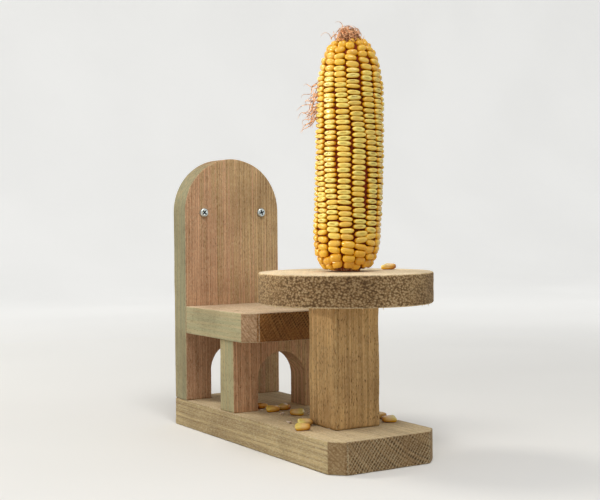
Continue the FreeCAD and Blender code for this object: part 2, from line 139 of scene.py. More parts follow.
class CedarLook(PropertyGroup):
    """Finish of the cedar boards."""

    heart: FloatVectorProperty(name="Heartwood", description="Pale wood of a year's ring",
                               default=paint(220, 190, 138), subtype="COLOR", size=3, min=0, max=1)
    rosy: FloatVectorProperty(name="Rosy heartwood", description="Pinker streaks in the pale wood",
                              default=paint(210, 164, 129), subtype="COLOR", size=3, min=0, max=1)
    late: FloatVectorProperty(name="Ring lines", description="Dark line that ends a year's ring",
                              default=paint(130, 92, 58), subtype="COLOR", size=3, min=0, max=1)
    # The sapwood colour goes on left-facing faces: partly pale outer wood, partly painted cool sky light.
    sap_and_sky_light: FloatVectorProperty(name="Sapwood", description="Pale outer wood on the left edges",
                             default=paint(174, 164, 126), subtype="COLOR", size=3, min=0, max=1)
    fuzz: FloatVectorProperty(name="Fuzz", description="Raised fibres on sawn faces and edges",
                              default=paint(232, 212, 174), subtype="COLOR", size=3, min=0, max=1)
    pits: FloatVectorProperty(name="Pits", description="Torn hollows in the end grain",
                              default=paint(84, 60, 36), subtype="COLOR", size=3, min=0, max=1)
    edge_round: FloatProperty(name="Edge rounding", description="Radius of the eased board edges",
                              default=0.8 * MM, subtype="DISTANCE", unit="LENGTH")
    waviness: FloatProperty(name="Waviness", description="Height of the sawn unevenness of the faces",
                            default=0.1 * MM, subtype="DISTANCE", unit="LENGTH")
    mesh_step: FloatProperty(name="Mesh step", description="Spacing of the boards' mesh lines",
                             default=1.6 * MM, subtype="DISTANCE", unit="LENGTH")


class CornLook(PropertyGroup):
    """Finish and layout of the ear of corn."""

    crown: FloatVectorProperty(name="Crown", description="Pale rim of a dented kernel",
                               default=paint(229, 214, 116), subtype="COLOR", size=3, min=0, max=1)
    # The crease colour is partly the dent's duller tone and partly painted shade in the hollow.
    crease_and_shade: FloatVectorProperty(name="Crease", description="Duller hollow of a dented kernel",
                                default=paint(164, 134, 44), subtype="COLOR", size=3, min=0, max=1)
    flank: FloatVectorProperty(name="Flank", description="Deep yellow side of a kernel",
                               default=paint(218, 148, 10), subtype="COLOR", size=3, min=0, max=1)
    # The root colour is partly the chaff's own red-brown and partly painted shade deep between the kernels.
    root: FloatVectorProperty(name="Root", description="Red-brown gap between kernels",
                              default=paint(132, 46, 14), subtype="COLOR", size=3, min=0, max=1)
    pith: FloatVectorProperty(name="Pith", description="Dry core of the ear",
                              default=paint(198, 150, 112), subtype="COLOR", size=3, min=0, max=1)
    silk: FloatVectorProperty(name="Silk", description="Dried silk at the tip",
                              default=paint(222, 168, 124), subtype="COLOR", size=3, min=0, max=1)
    germ: FloatVectorProperty(name="Germ", description="Chalky face of a loose kernel",
                              default=paint(240, 226, 186), subtype="COLOR", size=3, min=0, max=1)
    rows: IntProperty(name="Rows", description="Kernel rows round the ear", default=14)
    pitch: FloatProperty(name="Kernel pitch", description="Spacing of the kernels in the middle of a row",
                         default=3.75 * MM, subtype="DISTANCE", unit="LENGTH")
    twist: FloatProperty(name="Row twist", description="How far the rows turn from butt to tip",
                         default=math.radians(28), subtype="ANGLE", unit="ROTATION")
    bow: FloatProperty(name="Bow", description="How far the middle of the ear bends to the right",
                       default=1.2 * MM, subtype="DISTANCE", unit="LENGTH")


class SteelLook(PropertyGroup):
    """Finish of the screws and nails."""

    zinc: FloatVectorProperty(name="Zinc", description="Bright plate of the two mounting screws",
                              default=paint(206, 216, 216), subtype="COLOR", size=3, min=0, max=1)
    coat: FloatVectorProperty(name="Coat", description="Dull yellow coat of the assembly screws",
                              default=paint(168, 148, 104), subtype="COLOR", size=3, min=0, max=1)
    thread_pitch: FloatProperty(name="Thread pitch", description="Distance between thread turns",
                                default=2.2 * MM, subtype="DISTANCE", unit="LENGTH")
    thread_depth: FloatProperty(name="Thread depth", description="Height of the thread ridge",
                                default=0.7 * MM, subtype="DISTANCE", unit="LENGTH")


class StageLook(PropertyGroup):
    """Floor, light and camera."""

    floor: FloatVectorProperty(name="Floor", description="Pale floor and backdrop",
                               default=paint(232, 232, 230), subtype="COLOR", size=3, min=0, max=1)
    glow: FloatProperty(name="Backdrop glow", description="Light of the backdrop away from the feeder",
                        default=0.55)
    sky: FloatProperty(name="Sky", description="Strength of the even light from all round", default=0.45)
    key: FloatProperty(name="Key light", description="Power of the large soft lamp", default=8.5,
                       unit="POWER")
    rim: FloatProperty(name="Rim light", description="Power of the warm lamp behind on the left",
                       default=5.0, unit="POWER")
    kicker: FloatProperty(name="Kicker", description="Power of the narrow lamp on the left of the ear",
                          default=20.0, unit="POWER")
    lens: FloatProperty(name="Lens", description="Focal length on a 36 mm wide frame", default=66.3,
                        unit="CAMERA")


# Surfaces as whole arrays


def lattice_hash(cells):
    """A repeatable number from -1 to 1 for each whole-number cell, by mixing its three indices."""
    mixed = cells[..., 0] * 374761393 + cells[..., 1] * 668265263 + cells[..., 2] * 1274126177
    mixed = (mixed ^ (mixed >> 13)) * 1103515245
    mixed = mixed ^ (mixed >> 16)
    return (mixed & 0xFFFF) / 32767.5 - 1


def smooth_noise(points, cell):
    """Values from -1 to 1 that vary smoothly: hashed cell corners blended by cubic weights."""
    scaled = np.asarray(points) / np.asarray(cell)
    low = np.floor(scaled).astype(np.int64)
    share = scaled - low
    share = share * share * (3 - 2 * share)
    total = np.zeros(scaled.shape[:-1])
    for corner in np.ndindex(2, 2, 2):
        step = np.array(corner)
        weight = np.prod(np.where(step == 1, share, 1 - share), axis=-1)
        total += weight * lattice_hash(low + step)
    return total


def scatter(count, seed):
    """Repeatable numbers from 0 to 1, one for each of a count of things."""
    number = np.arange(count)
    cells = np.stack([number, number * 0 + seed, number * 0 + 5], axis=1)
    return 0.5 + 0.5 * lattice_hash(cells)


def unit(vectors):
    """Vectors of any length brought to length 1."""
    length = np.linalg.norm(vectors, axis=-1, keepdims=True)
    return vectors / np.maximum(length, 1e-12)


def grid_faces(index):
    """Four-cornered faces over a grid of vertex numbers, turning from its first axis to its second."""
    corners = [index[:-1, :-1], index[1:, :-1], index[1:, 1:], index[:-1, 1:]]
    return np.stack(corners, axis=-1).reshape(-1, 4)


def tube_faces(rings, sides, copies=1):
    """Faces of equal closed shells of rings by sides points, whose first and last rings are points."""
    index = np.arange(rings * sides).reshape(rings, sides)
    index[[0, -1]] = index[[0, -1], :1]
    faces = grid_faces(np.concatenate([index, index[:, :1]], axis=1))
    return (faces[None] + (np.arange(copies) * rings * sides)[:, None, None]).reshape(-1, 4)


def facing_out(points, faces):
    """The faces, turned round if the volume that they enclose comes out negative."""
    corner = points[faces]
    inner = np.cross(corner[:, 1], corner[:, 2]) + np.cross(corner[:, 2], corner[:, 3])
    return faces if np.sum(corner[:, 0] * inner) > 0 else faces[:, ::-1]


def make_mesh(name, points, faces, attributes=None):
    """A smooth mesh object from arrays, with one number for each point in every named attribute.

    A corner that repeats the one before it is left out, so that a face at a pole becomes a triangle.
    """
    used, compact = np.unique(faces, return_inverse=True)
    faces = compact.reshape(-1, 4)
    kept = faces != np.roll(faces, 1, axis=1)
    sizes = kept.sum(axis=1)
    corners = faces[kept]
    mesh = bpy.data.meshes.new(name)
    mesh.vertices.add(len(used))
    mesh.vertices.foreach_set("co", points.reshape(-1, 3)[used].astype(np.float32).ravel())
    mesh.loops.add(len(corners))
    mesh.loops.foreach_set("vertex_index", corners.astype(np.int32))
    mesh.polygons.add(len(sizes))
    mesh.polygons.foreach_set("loop_start", (np.cumsum(sizes) - sizes).astype(np.int32))
    mesh.polygons.foreach_set("use_smooth", np.ones(len(sizes), dtype=bool))
    for label, values in (attributes or {}).items():
        layer = mesh.attributes.new(label, "FLOAT", "POINT")
        layer.data.foreach_set("value", np.asarray(values, dtype=np.float32).ravel()[used])
    mesh.update(calc_edges=True)
    piece = bpy.data.objects.new(name, mesh)
    bpy.context.scene.collection.objects.link(piece)
    return piece


def make_piece(name, points, faces, body, slot, attributes=None, instead=False):
    """A closed piece of the feeder that rides on a body, standing in for the node of its name if asked."""
    piece = make_mesh(name, points, facing_out(points.reshape(-1, 3), faces), attributes)
    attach(piece, body)
    if instead:
        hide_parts(name)
    return piece


def make_cutter(points, faces):
    """A closed shape that will be taken out of a piece."""
    return make_mesh("cutter", points, facing_out(points.reshape(-1, 3), faces))


def cut_with(piece, cutters):
    """Take closed cutter shapes out of a piece, then remove them."""
    for cutter in cutters:
        modifier = piece.modifiers.new("cut", "BOOLEAN")
        modifier.operation = "DIFFERENCE"
        modifier.solver = "EXACT"
        modifier.object = cutter
    bpy.context.view_layer.update()
    view = bpy.context.evaluated_depsgraph_get()
    finished = bpy.data.meshes.new_from_object(piece.evaluated_get(view))
    piece.modifiers.clear()
    plain = piece.data
    piece.data = finished
    finished.name = piece.name
    bpy.data.meshes.remove(plain)
    for cutter in cutters:
        shape = cutter.data
        bpy.data.objects.remove(cutter)
        bpy.data.meshes.remove(shape)


def lathe(profile, turns=48, sway=None):
    """Spin a list of (radius, height) points about Z, a ring of points for each, from radius 0 to radius 0.

    sway gives an extra radius for each ring and angle, such as a helical ridge.
    """
    radius, height = np.asarray(profile, dtype=float).T
    angle = np.linspace(0, 2 * np.pi, turns, endpoint=False)
    wide = np.repeat(radius[:, None], turns, axis=1)
    if sway is not None:
        wide = wide + np.where(radius[:, None] > 0, sway(height[:, None], angle[None, :]), 0)
    level = np.repeat(height[:, None], turns, axis=1)
    points = np.stack([wide * np.cos(angle), wide * np.sin(angle), level], axis=-1)
    return points, tube_faces(len(radius), turns)


# Boards

# Distances of the mesh lines next to an edge
EDGE_STEPS = np.array([0, 0.2, 0.5, 0.9, 1.5]) * MM
# Least cosine between a slanted edge and the way across, below which its mesh lines spread no further
LEAST_SLANT = 0.2
# How much the eased edges vary and over what length, and the share by which a square edge passes its radius
EASE_VARIES = 0.45
EASE_LENGTH = 14 * MM
EDGE_EXCESS = 0.41
# Long and short waves of the faces, the share of the short ones, and how far all stretch along the grain
LONG_WAVE = 11 * MM
SHORT_WAVE = 3 * MM
SHORT_SHARE = 0.6
GRAIN_STRETCH = 9.0
# Chips along the edges
CHIP_LENGTH = 2.4 * MM
CHIP_DEPTH = 0.35 * MM


def end_steps(length, step):
    """Distances from 0 to length: close together at both ends and even between."""
    count = max(2, int((length - 2 * EDGE_STEPS[-1]) / step))
    middle = np.linspace(EDGE_STEPS[-1], length - EDGE_STEPS[-1], count)
    return np.concatenate([EDGE_STEPS[:-1], middle, length - EDGE_STEPS[-2::-1]])


def plank(name, left, right, through, look, grain, edge_round=None):
    """A board between two long edge lines, carried through its thickness as a closed lattice shell.

    Along: the given points of both lines. Across: from left to right, close together at the edges.
    Through: along the thickness vector. Near an edge the inward distances below the radius r are shortened
    to a vector of length r, which rounds every edge and corner, and the shell is then moved along its
    outward normal by smooth noise that is long along the grain.
    """
    edge_round = edge_round or look.edge_round
    width = np.linalg.norm(right - left, axis=1)
    across = unit(right - left)
    thickness = float(np.linalg.norm(through))
    deep = unit(np.asarray(through, dtype=float))
    along = unit(np.gradient((left + right) / 2, axis=0))
    left_in = np.cross(deep, unit(np.gradient(left, axis=0)))
    right_in = -np.cross(deep, unit(np.gradient(right, axis=0)))
    hand = np.sign(np.sum(left_in * across, axis=1))[:, None]
    left_in, right_in = left_in * hand, right_in * hand
    lean = np.clip(np.abs(np.sum(left_in * across, axis=1)), LEAST_SLANT, 1)
    fine = EDGE_STEPS / lean[:, None]
    middle = np.linspace(0, 1, max(3, int(width.max() / look.mesh_step)))[1:-1]
    between = fine[:, -1:] + (width[:, None] - 2 * fine[:, -1:]) * middle
    reach = np.concatenate([fine, between, width[:, None] - fine[:, ::-1]], axis=1)
    flat = left[:, None] + across[:, None] * reach[..., None]
    depth = end_steps(thickness, look.mesh_step)
    grid = flat[:, :, None] + deep * depth[None, None, :, None]
    radius = edge_round * (1 + EASE_VARIES * smooth_noise(grid, EASE_LENGTH))

    def near(distance):
        return np.clip(radius - distance, 0, radius)[..., None]

    from_start = np.linalg.norm(flat - flat[:1], axis=-1)[:, :, None]
    from_end = np.linalg.norm(flat - flat[-1:], axis=-1)[:, :, None]
    from_left = np.abs(np.sum((flat - left[:, None]) * left_in[:, None], axis=-1))[:, :, None]
    from_right = np.abs(np.sum((flat - right[:, None]) * right_in[:, None], axis=-1))[:, :, None]
    inward = ((near(from_start) - near(from_end)) * along[:, None, None]
              + near(from_left) * left_in[:, None, None] + near(from_right) * right_in[:, None, None]
              + (near(depth) - near(thickness - depth)) * deep)
    size = np.linalg.norm(inward, axis=-1)
    keep = np.minimum(1, radius / np.maximum(size, 1e-9))
    grid = grid + inward * (1 - keep)[..., None]
    outward = -unit(inward)
    edge = np.clip((size / radius - 1) / EDGE_EXCESS, 0, 1)
    stretch = np.where(np.abs(np.asarray(grain)) > 0.5, GRAIN_STRETCH, 1.0)
    swell = smooth_noise(grid, LONG_WAVE * stretch) + SHORT_SHARE * smooth_noise(grid, SHORT_WAVE * stretch)
    chips = np.clip(smooth_noise(grid, CHIP_LENGTH) + 0.2, 0, 1) * edge
    grid = grid + outward * (look.waviness * swell - CHIP_DEPTH * chips)[..., None]

    index = np.arange(grid[..., 0].size).reshape(grid.shape[:3])
    faces = np.concatenate([
        grid_faces(index[:, :, -1]), grid_faces(index[:, :, 0])[:, ::-1],
        grid_faces(index[-1]), grid_faces(index[0])[:, ::-1],
        grid_faces(index[:, 0]), grid_faces(index[:, -1])[:, ::-1],
    ])
    return make_piece(name, grid, faces, FIXED, "cedar", {"edge": edge}, instead=True)


def level_board_lines(node, look):
    """Left and right long edges of a level board from rear to front, narrowing over the cut corners."""
    low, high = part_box(node)
    length = high.y - low.y
    steps = np.union1d(end_steps(length, look.mesh_step), [length - CORNER_CUT])
    half = (high.x - low.x) / 2 - np.clip(steps - (length - CORNER_CUT), 0, CORNER_CUT)
    y = high.y - steps
    z = np.full_like(y, low.z)
    return np.stack([-half, y, z], axis=1), np.stack([half, y, z], axis=1), (0, 0, high.z - low.z)


def path_points(corners, crown, shares):
    """Points at shares of the length of a path up a left side, over a crown and down a right side.

    The crown is a half circle where crown is "round", and a straight line where it is "flat".
    """
    (x0, z0), (x1, z1) = corners
    side = z1 - z0
    half = (x1 - x0) / 2
    over = np.pi * half if crown == "round" else 2 * half
    travel = shares * (2 * side + over)
    up = np.clip(travel, 0, side)
    down = np.clip(travel - side - over, 0, side)
    share = np.clip((travel - side) / over, 0, 1)
    if crown == "round":
        x = (x0 + x1) / 2 - half * np.cos(np.pi * share)
        z = z0 + up - down + half * np.sin(np.pi * share)
    else:
        x = x0 + 2 * half * share
        z = z0 + up - down
    return x, z


def arched_board_lines(node, crown, look):
    """Outer and inner outlines of an upright board that stands on two legs either side of an arch."""
    low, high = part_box(node)
    half = (high.x - low.x) / 2
    spring = high.z - half if crown == "round" else high.z
    side = spring - low.z
    over = np.pi * half if crown == "round" else 2 * half
    total = 2 * side + over
    shares = np.union1d(end_steps(total, look.mesh_step * 1.25), [side, side + over]) / total
    arch = ARCH_WIDTH / 2
    x_out, z_out = path_points(((-half, low.z), (half, spring)), crown, shares)
    x_in, z_in = path_points(((-arch, low.z), (arch, low.z + ARCH_HEIGHT - arch)), "round", shares)
    y = np.full_like(shares, high.y)
    return np.stack([x_out, y, z_out], axis=1), np.stack([x_in, y, z_in], axis=1), (0, low.y - high.y, 0)


def post_lines(node, look):
    """Left and right rear edges of the upright post, from foot to head."""
    low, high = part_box(node)
    rise = low.z + end_steps(high.z - low.z, look.mesh_step)
    rear = np.full_like(rise, high.y)
    left = np.stack([np.full_like(rise, low.x), rear, rise], axis=1)
    right = np.stack([np.full_like(rise, high.x), rear, rise], axis=1)
    return left, right, (0, low.y - high.y, 0)


def round_board(name, look, ease=1.4 * MM, wave=12 * MM, tear=1.9 * MM, chip=2.6 * MM):
    """The table top: rings over a flat top, round two eased edges and a straight rim, and under.

    Smooth noise moves every point along its outward normal, with torn grain and chips at the rim.
    """
    tear_depth = 0.16 * MM
    chip_depth = 0.3 * MM
    low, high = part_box(name)
    radius = (high.x - low.x) / 2
    thick = high.z - low.z
    rings = np.linspace(0, radius - ease, int(radius / look.mesh_step))
    bend = np.linspace(0, np.pi / 2, 5)
    rim = np.linspace(thick - ease, ease, int(thick / look.mesh_step))[1:-1]
    r = np.concatenate([rings, radius - ease + ease * np.sin(bend[1:]), np.full_like(rim, radius),
                        radius - ease + ease * np.cos(bend), rings[-2::-1]])
    z = np.concatenate([np.full_like(rings, thick), thick - ease + ease * np.cos(bend[1:]), rim,
                        ease - ease * np.sin(bend), np.zeros(len(rings) - 1)])
    edge = np.concatenate([0 * rings, np.sin(2 * bend[1:]), 0 * rim, np.sin(2 * bend), 0 * rings[1:]])
    points, faces = lathe(np.stack([r, z], axis=1), int(2 * np.pi * radius / look.mesh_step))
    slope = unit(np.gradient(np.stack([r, z], axis=1), axis=0))
    radial = unit(points * np.array([1, 1, 0]))
    outward = -slope[:, None, 1:] * radial + slope[:, None, :1] * np.array(UP)
    points = points + np.array([TABLE_MIDDLE.x, TABLE_MIDDLE.y, low.z])
    rough = np.clip(-slope[:, 1], 0, 1)[:, None]
    swell = smooth_noise(points, wave) + SHORT_SHARE * smooth_noise(points, SHORT_WAVE)
    torn = smooth_noise(points, tear) * rough
    chips = np.clip(smooth_noise(points, chip) + 0.1, 0, 1) * edge[:, None]
    height = look.waviness * swell + tear_depth * torn - chip_depth * chips
    points = points + outward * height[..., None]
    marks = {"edge": np.repeat(edge[:, None], points.shape[1], axis=1)}
    return make_piece(name, points, faces, FIXED, "cedar", marks, instead=True)


def sink_cutter(spot, axis, head, depth):
    """A cone that opens a flat head's seat along an axis: as wide as the head and sloping in at 45 degrees.

    It starts well outside the board, so that nothing of the uneven face stays over the head.
    """
    rim = head + depth
    neck = head * 0.35
    outside = depth * 4
    profile = [(0, outside), (rim + outside, outside), (neck, neck - rim), (0, neck - rim)]
    points, faces = lathe(profile, 40)
    turns = {"Z": Matrix.Identity(3), "-Z": Matrix.Rotation(math.pi, 3, "X"),
             "Y": Matrix.Rotation(-math.pi / 2, 3, "X")}
    return make_cutter(points @ np.array(turns[axis]).T + np.asarray(spot), faces)


# Node groups and materials

VECTOR = "NodeSocketVector"
NUMBER = "NodeSocketFloat"


class Bench:
    """Adds nodes to one tree. An input given as a socket is linked, and anything else is set."""

    def __init__(self, tree):
        self.tree = tree

    def add(self, kind, inputs=None, **settings):
        """A new node with its settings made and its inputs linked or set."""
        node = self.tree.nodes.new(kind)
        for name, value in settings.items():
            setattr(node, name, value)
        for key, value in (inputs or {}).items():
            if isinstance(value, bpy.types.NodeSocket):
                self.tree.links.new(value, node.inputs[key])
            else:
                node.inputs[key].default_value = value
        return node

    def group(self, name, inputs):
        """Outputs of a node group placed with its own inputs."""
        return self.add("ShaderNodeGroup", inputs, node_tree=bpy.data.node_groups[name]).outputs

    def math(self, operation, first, second=0.0):
        """Result of one operation on two numbers."""
        return self.add("ShaderNodeMath", {0: first, 1: second}, operation=operation).outputs[0]

    def times(self, *factors):
        """Product of any count of numbers."""
        product = factors[0]
        for factor in factors[1:]:
            product = self.math("MULTIPLY", product, factor)
        return product

    def vector(self, operation, first, second):
        """Result of one operation on two vectors."""
        return self.add("ShaderNodeVectorMath", {0: first, 1: second}, operation=operation).outputs[0]

    def dot(self, first, second):
        """Dot product of two vectors."""
        return self.add("ShaderNodeVectorMath", {0: first, 1: second}, operation="DOT_PRODUCT").outputs[1]

    def mix(self, share, first, second, blend="MIX"):
        """Colour that goes from the first to the second, or blends it in, as the share grows."""
        node = self.add("ShaderNodeMix", {0: share, 6: first, 7: second}, data_type="RGBA", blend_type=blend)
        return node.outputs[2]

    def remap(self, value, low, high, to_low=0.0, to_high=1.0):
        """A number carried smoothly from one range to another and held at both ends."""
        inputs = {"Value": value, "From Min": low, "From Max": high, "To Min": to_low, "To Max": to_high}
        return self.add("ShaderNodeMapRange", inputs, interpolation_type="SMOOTHSTEP").outputs[0]

    def noise(self, vector, factors, detail=2.0, rough=0.5, output=0):
        """Noise over a vector whose axes are first multiplied, so that it can be long along one of them."""
        inputs = {"Vector": self.vector("MULTIPLY", vector, factors), "Scale": 1.0, "Detail": detail,
                  "Roughness": rough}
        return self.add("ShaderNodeTexNoise", inputs).outputs[output]

    def attribute(self, name):
        """A number that the mesh carries under a name."""
        return self.add("ShaderNodeAttribute", attribute_name=name).outputs["Fac"]

    def bump(self, height, strength, distance):
        """Normal of a surface raised by a height."""
        inputs = {"Height": height, "Strength": strength, "Distance": distance}
        return self.add("ShaderNodeBump", inputs).outputs[0]


def new_group(name, inputs, outputs):
    """An empty shader group with named sockets, returned with its bench, its inputs and its end node."""
    tree = bpy.data.node_groups.new(name, "ShaderNodeTree")
    for label, kind in inputs:
        tree.interface.new_socket(name=label, in_out="INPUT", socket_type=kind)
    for label in outputs:
        tree.interface.new_socket(name=label, in_out="OUTPUT", socket_type=NUMBER)
    bench = Bench(tree)
    return bench, bench.add("NodeGroupInput").outputs, bench.add("NodeGroupOutput")


def give(bench, end, results):
    """Link a group's results to its named outputs."""
    for label, socket in results.items():
        bench.tree.links.new(socket, end.inputs[label])


def cedar_figure_group():
    """Year rings round a distant pith, with fibres, streaks and dark flecks, for grain along Z."""
    bench, given, end = new_group(
        "cedar_figure", [("Position", VECTOR), ("Pith", VECTOR), ("Spacing", NUMBER), ("Wander", NUMBER)],
        ["Late", "Fibre", "Streak", "Fleck"])
    place = given["Position"]
    wander = bench.vector("SUBTRACT", bench.noise(place, (14, 14, 2.2), output=1), (0.5, 0.5, 0.5))
    moved = bench.add("ShaderNodeVectorMath", {0: wander, 3: given["Wander"]}, operation="SCALE").outputs[0]
    bent = bench.vector("ADD", bench.vector("SUBTRACT", place, given["Pith"]), moved)
    flat = bench.vector("MULTIPLY", bent, (1, 1, 0))
    radius = bench.add("ShaderNodeVectorMath", {0: flat}, operation="LENGTH").outputs[1]
    turns = bench.math("DIVIDE", radius, given["Spacing"])
    uneven = bench.add("ShaderNodeTexNoise", {"W": bench.times(turns, 0.31), "Scale": 1, "Detail": 1},
                       noise_dimensions="1D").outputs[0]
    share = bench.math("FRACT", bench.math("ADD", turns, bench.times(uneven, 2.4)))
    give(bench, end, {
        "Late": bench.times(bench.remap(share, 0.3, 0.85), bench.remap(share, 1.0, 0.88)),
        "Fibre": bench.noise(place, (1500, 1500, 42), 3, 0.6),
        "Streak": bench.noise(place, (420, 420, 7), 3, 0.6),
        "Fleck": bench.remap(bench.noise(place, (1250, 1250, 340), 1), 0.6, 0.7),
    })


def end_grain_group():
    """Sawn end grain: dark ring lines broken by pale saw lines, and rounded crumbs with dark pits between."""
    bench, given, end = new_group("end_grain", [("Position", VECTOR), ("Saw", VECTOR), ("Late", NUMBER)],
                                  ["Hatch", "Ridge", "Pit", "Crumb"])
    place = given["Position"]
    waver = bench.times(bench.noise(place, (70, 70, 70)), 1.8)
    phase = bench.math("ADD", bench.dot(place, given["Saw"]), waver)
    saw = bench.remap(bench.math("SINE", bench.times(phase, 2 * math.pi)), -0.2, 0.9)
    patch = bench.remap(bench.noise(place, (45, 45, 45)), 0.35, 0.6, 0.3, 1)
    spread = bench.vector("MULTIPLY", place, (620, 620, 720))
    cells = bench.add("ShaderNodeTexVoronoi", {"Vector": spread, "Scale": 1.0}).outputs["Distance"]
    pebble = bench.math("ADD", cells, bench.times(bench.noise(place, (200, 200, 200)), 0.3))
    give(bench, end, {
        "Hatch": bench.times(patch, given["Late"], bench.remap(saw, 0, 1, 1, 0.25)),
        "Ridge": bench.times(patch, saw),
        "Pit": bench.remap(pebble, 0.62, 0.92),
        "Crumb": bench.remap(pebble, 0.62, 0.38),
    })


def sawn_face_group():
    """Marks that a saw leaves along the grain: ridges across it and raised fuzz."""
    bench, given, end = new_group("sawn_face", [("Position", VECTOR)], ["Ridge", "Fuzz"])
    give(bench, end, {
        "Ridge": bench.noise(given["Position"], (28, 28, 620)),
        "Fuzz": bench.noise(given["Position"], (1300, 1300, 360), 4, 0.65),
    })


def handling_group():
    """Broad soft blotches of weather and handling, and small specks."""
    bench, given, end = new_group("handling", [("Position", VECTOR)], ["Blotch", "Speck"])
    give(bench, end, {
        "Blotch": bench.noise(given["Position"], (26, 26, 26), 4, 0.6),
        "Speck": bench.remap(bench.noise(given["Position"], (420, 420, 420)), 0.66, 0.76),
    })


def new_material(name):
    """A material with a Principled shader, returned with its bench and that shader."""
    material = bpy.data.materials.new(name)
    material.use_nodes = True
    shader = next(node for node in material.node_tree.nodes if node.type == "BSDF_PRINCIPLED")
    return material, Bench(material.node_tree), shader


def finish_shader(bench, shader, colour, rough, normal, specular, metallic=0.0):
    """Link colour, roughness and normal to a Principled shader, and set its plain values."""
    bench.tree.links.new(colour, shader.inputs["Base Color"])
    bench.tree.links.new(rough, shader.inputs["Roughness"])
    bench.tree.links.new(normal, shader.inputs["Normal"])
    shader.inputs["Specular IOR Level"].default_value = specular
    shader.inputs["Metallic"].default_value = metallic


def stripes(angle, spacing, plane="XZ"):
    """Direction across stripes that lie at an angle to the level in a plane, divided by their spacing."""
    turned = math.radians(angle + 90)
    first, second = math.cos(turned) / spacing, math.sin(turned) / spacing
    return (first, 0, second) if plane == "XZ" else (first, second, 0)


# Each board's grain: turn of the pattern in degrees, place of the pith and ring spacing in the turned
# pattern, wander of the rings, tint, saw lines and stain of its end grain, and how strongly it shows
# hatching, pits, a pale upper face (bleached fibres and painted light from above), dull ends, a torn rim
# all round, flecks, rosy streaks, sawn fuzz and ring lines
UPRIGHT_ENDS = dict(saw=stripes(8, 1.9 * MM, "XY"), stain=(0.9, 0.88, 0.84), hatch=0.4, pit=0.2, bleach_and_top_light=0,
                    dull=0.15, rim=0)
FIGURES = {
    "base_board": dict(
        turn=(90, 0, 0), pith=(0.077, 0.074, 0), spacing=2.2 * MM, wander=0.003, tint=(0.87, 0.95, 0.98),
        saw=stripes(55, 2.2 * MM), stain=(0.95, 0.93, 0.89), hatch=0.85, pit=0.2, bleach_and_top_light=0.3, dull=0.75,
        rim=0, fleck=0.25, rosy=0.1, sawn=0.9, ring=0.4),
    "back_board": dict(
        turn=(0, 0, 0), pith=(0.4, -0.03, 0), spacing=1.8 * MM, wander=0.006, tint=(0.98, 0.98, 1.0),
        **UPRIGHT_ENDS, fleck=0.4, rosy=0.9, sawn=0.5, ring=0.52),
    "seat_board": dict(
        turn=(90, 0, 0), pith=(0.128, 0.0105, 0), spacing=2.0 * MM, wander=0.003, tint=(0.96, 0.98, 1.06),
        saw=stripes(40, 2.1 * MM), stain=(0.72, 0.52, 0.26), hatch=0.75, pit=0.2, bleach_and_top_light=0.35, dull=0.4,
        rim=0, fleck=0.25, rosy=0.6, sawn=0.8, ring=0.5),
    "seat_support": dict(
        turn=(0, 0, 0), pith=(0.4, 0.02, 0), spacing=1.9 * MM, wander=0.006, tint=(0.98, 0.95, 0.92),
        **UPRIGHT_ENDS, fleck=0.4, rosy=0.9, sawn=0.4, ring=0.5),
    "table_post": dict(
        turn=(0, 0, 0), pith=(0.22, 0.0, 0), spacing=2.4 * MM, wander=0.006, tint=(0.97, 0.91, 0.75),
        **UPRIGHT_ENDS, fleck=0.75, rosy=0.3, sawn=0.5, ring=0.3),
    "table_top": dict(
        turn=(90, -33, 0), pith=(0.02, 0.3, 0), spacing=2.2 * MM, wander=0.006, tint=(0.98, 1.0, 0.98),
        saw=stripes(4, 2.1 * MM), stain=(0.66, 0.62, 0.55), hatch=0.2, pit=0.9, bleach_and_top_light=0.8, dull=0.35,
        rim=0.8, fleck=0.1, rosy=0.3, sawn=0.9, ring=0.3),
}
# Way in which the boards grow rosier, per metre
ROSIER = (-2.6, 0, -0.8)
# Tint of the pale upper faces: bleached fibres, and painted light from above
BLEACH_AND_TOP_LIGHT = (1.06, 1.12, 1.25)
# Boards whose left-facing faces show sapwood together with painted cool sky light, with its tint there, which
# is also painted light (darker on the back board as painted shade), and how far from the middle it shows in
# full
SAP_AND_SKY_REACH = 30 * MM
SAP_AND_SKY_BOARDS = {
    "back_board": (0.76, 0.84, 0.9),
    "seat_board": (1.03, 1.1, 1.12),
    "seat_support": (0.98, 1.06, 1.08),
}


def cut_masks(bench, facing, turn, rim):
    """Masks of the cut ends: roughly across the grain, and square to it. A torn rim counts as both."""
    pattern = Matrix.Identity(3)
    for angle, axis in zip(turn, "XYZ"):
        pattern = Matrix.Rotation(angle, 3, axis) @ pattern
    across = bench.math("ABSOLUTE", bench.dot(facing, tuple(pattern[2])))
    ends = bench.remap(across, 0.45, 0.8)
    square = bench.remap(across, 0.78, 0.94)
    if rim:
        level = bench.math("ABSOLUTE", bench.dot(facing, UP))
        upright = bench.remap(level, 0.6, 0.3, 0, rim)
        ends = bench.math("MAXIMUM", ends, upright)
        square = bench.math("MAXIMUM", square, upright)
    return ends, square


def sap_and_sky_mask(bench, place, facing):
    """1 on outer faces that look to the left, where sapwood and painted cool sky light go, but not on corners
    that are cut off towards the front.
    """
    outer = bench.remap(bench.dot(place, LEFT), 0, SAP_AND_SKY_REACH)
    sideways = bench.remap(bench.dot(facing, LEFT), 0.2, 0.6)
    return bench.times(outer, sideways, bench.remap(bench.dot(facing, REAR), -0.8, -0.3))


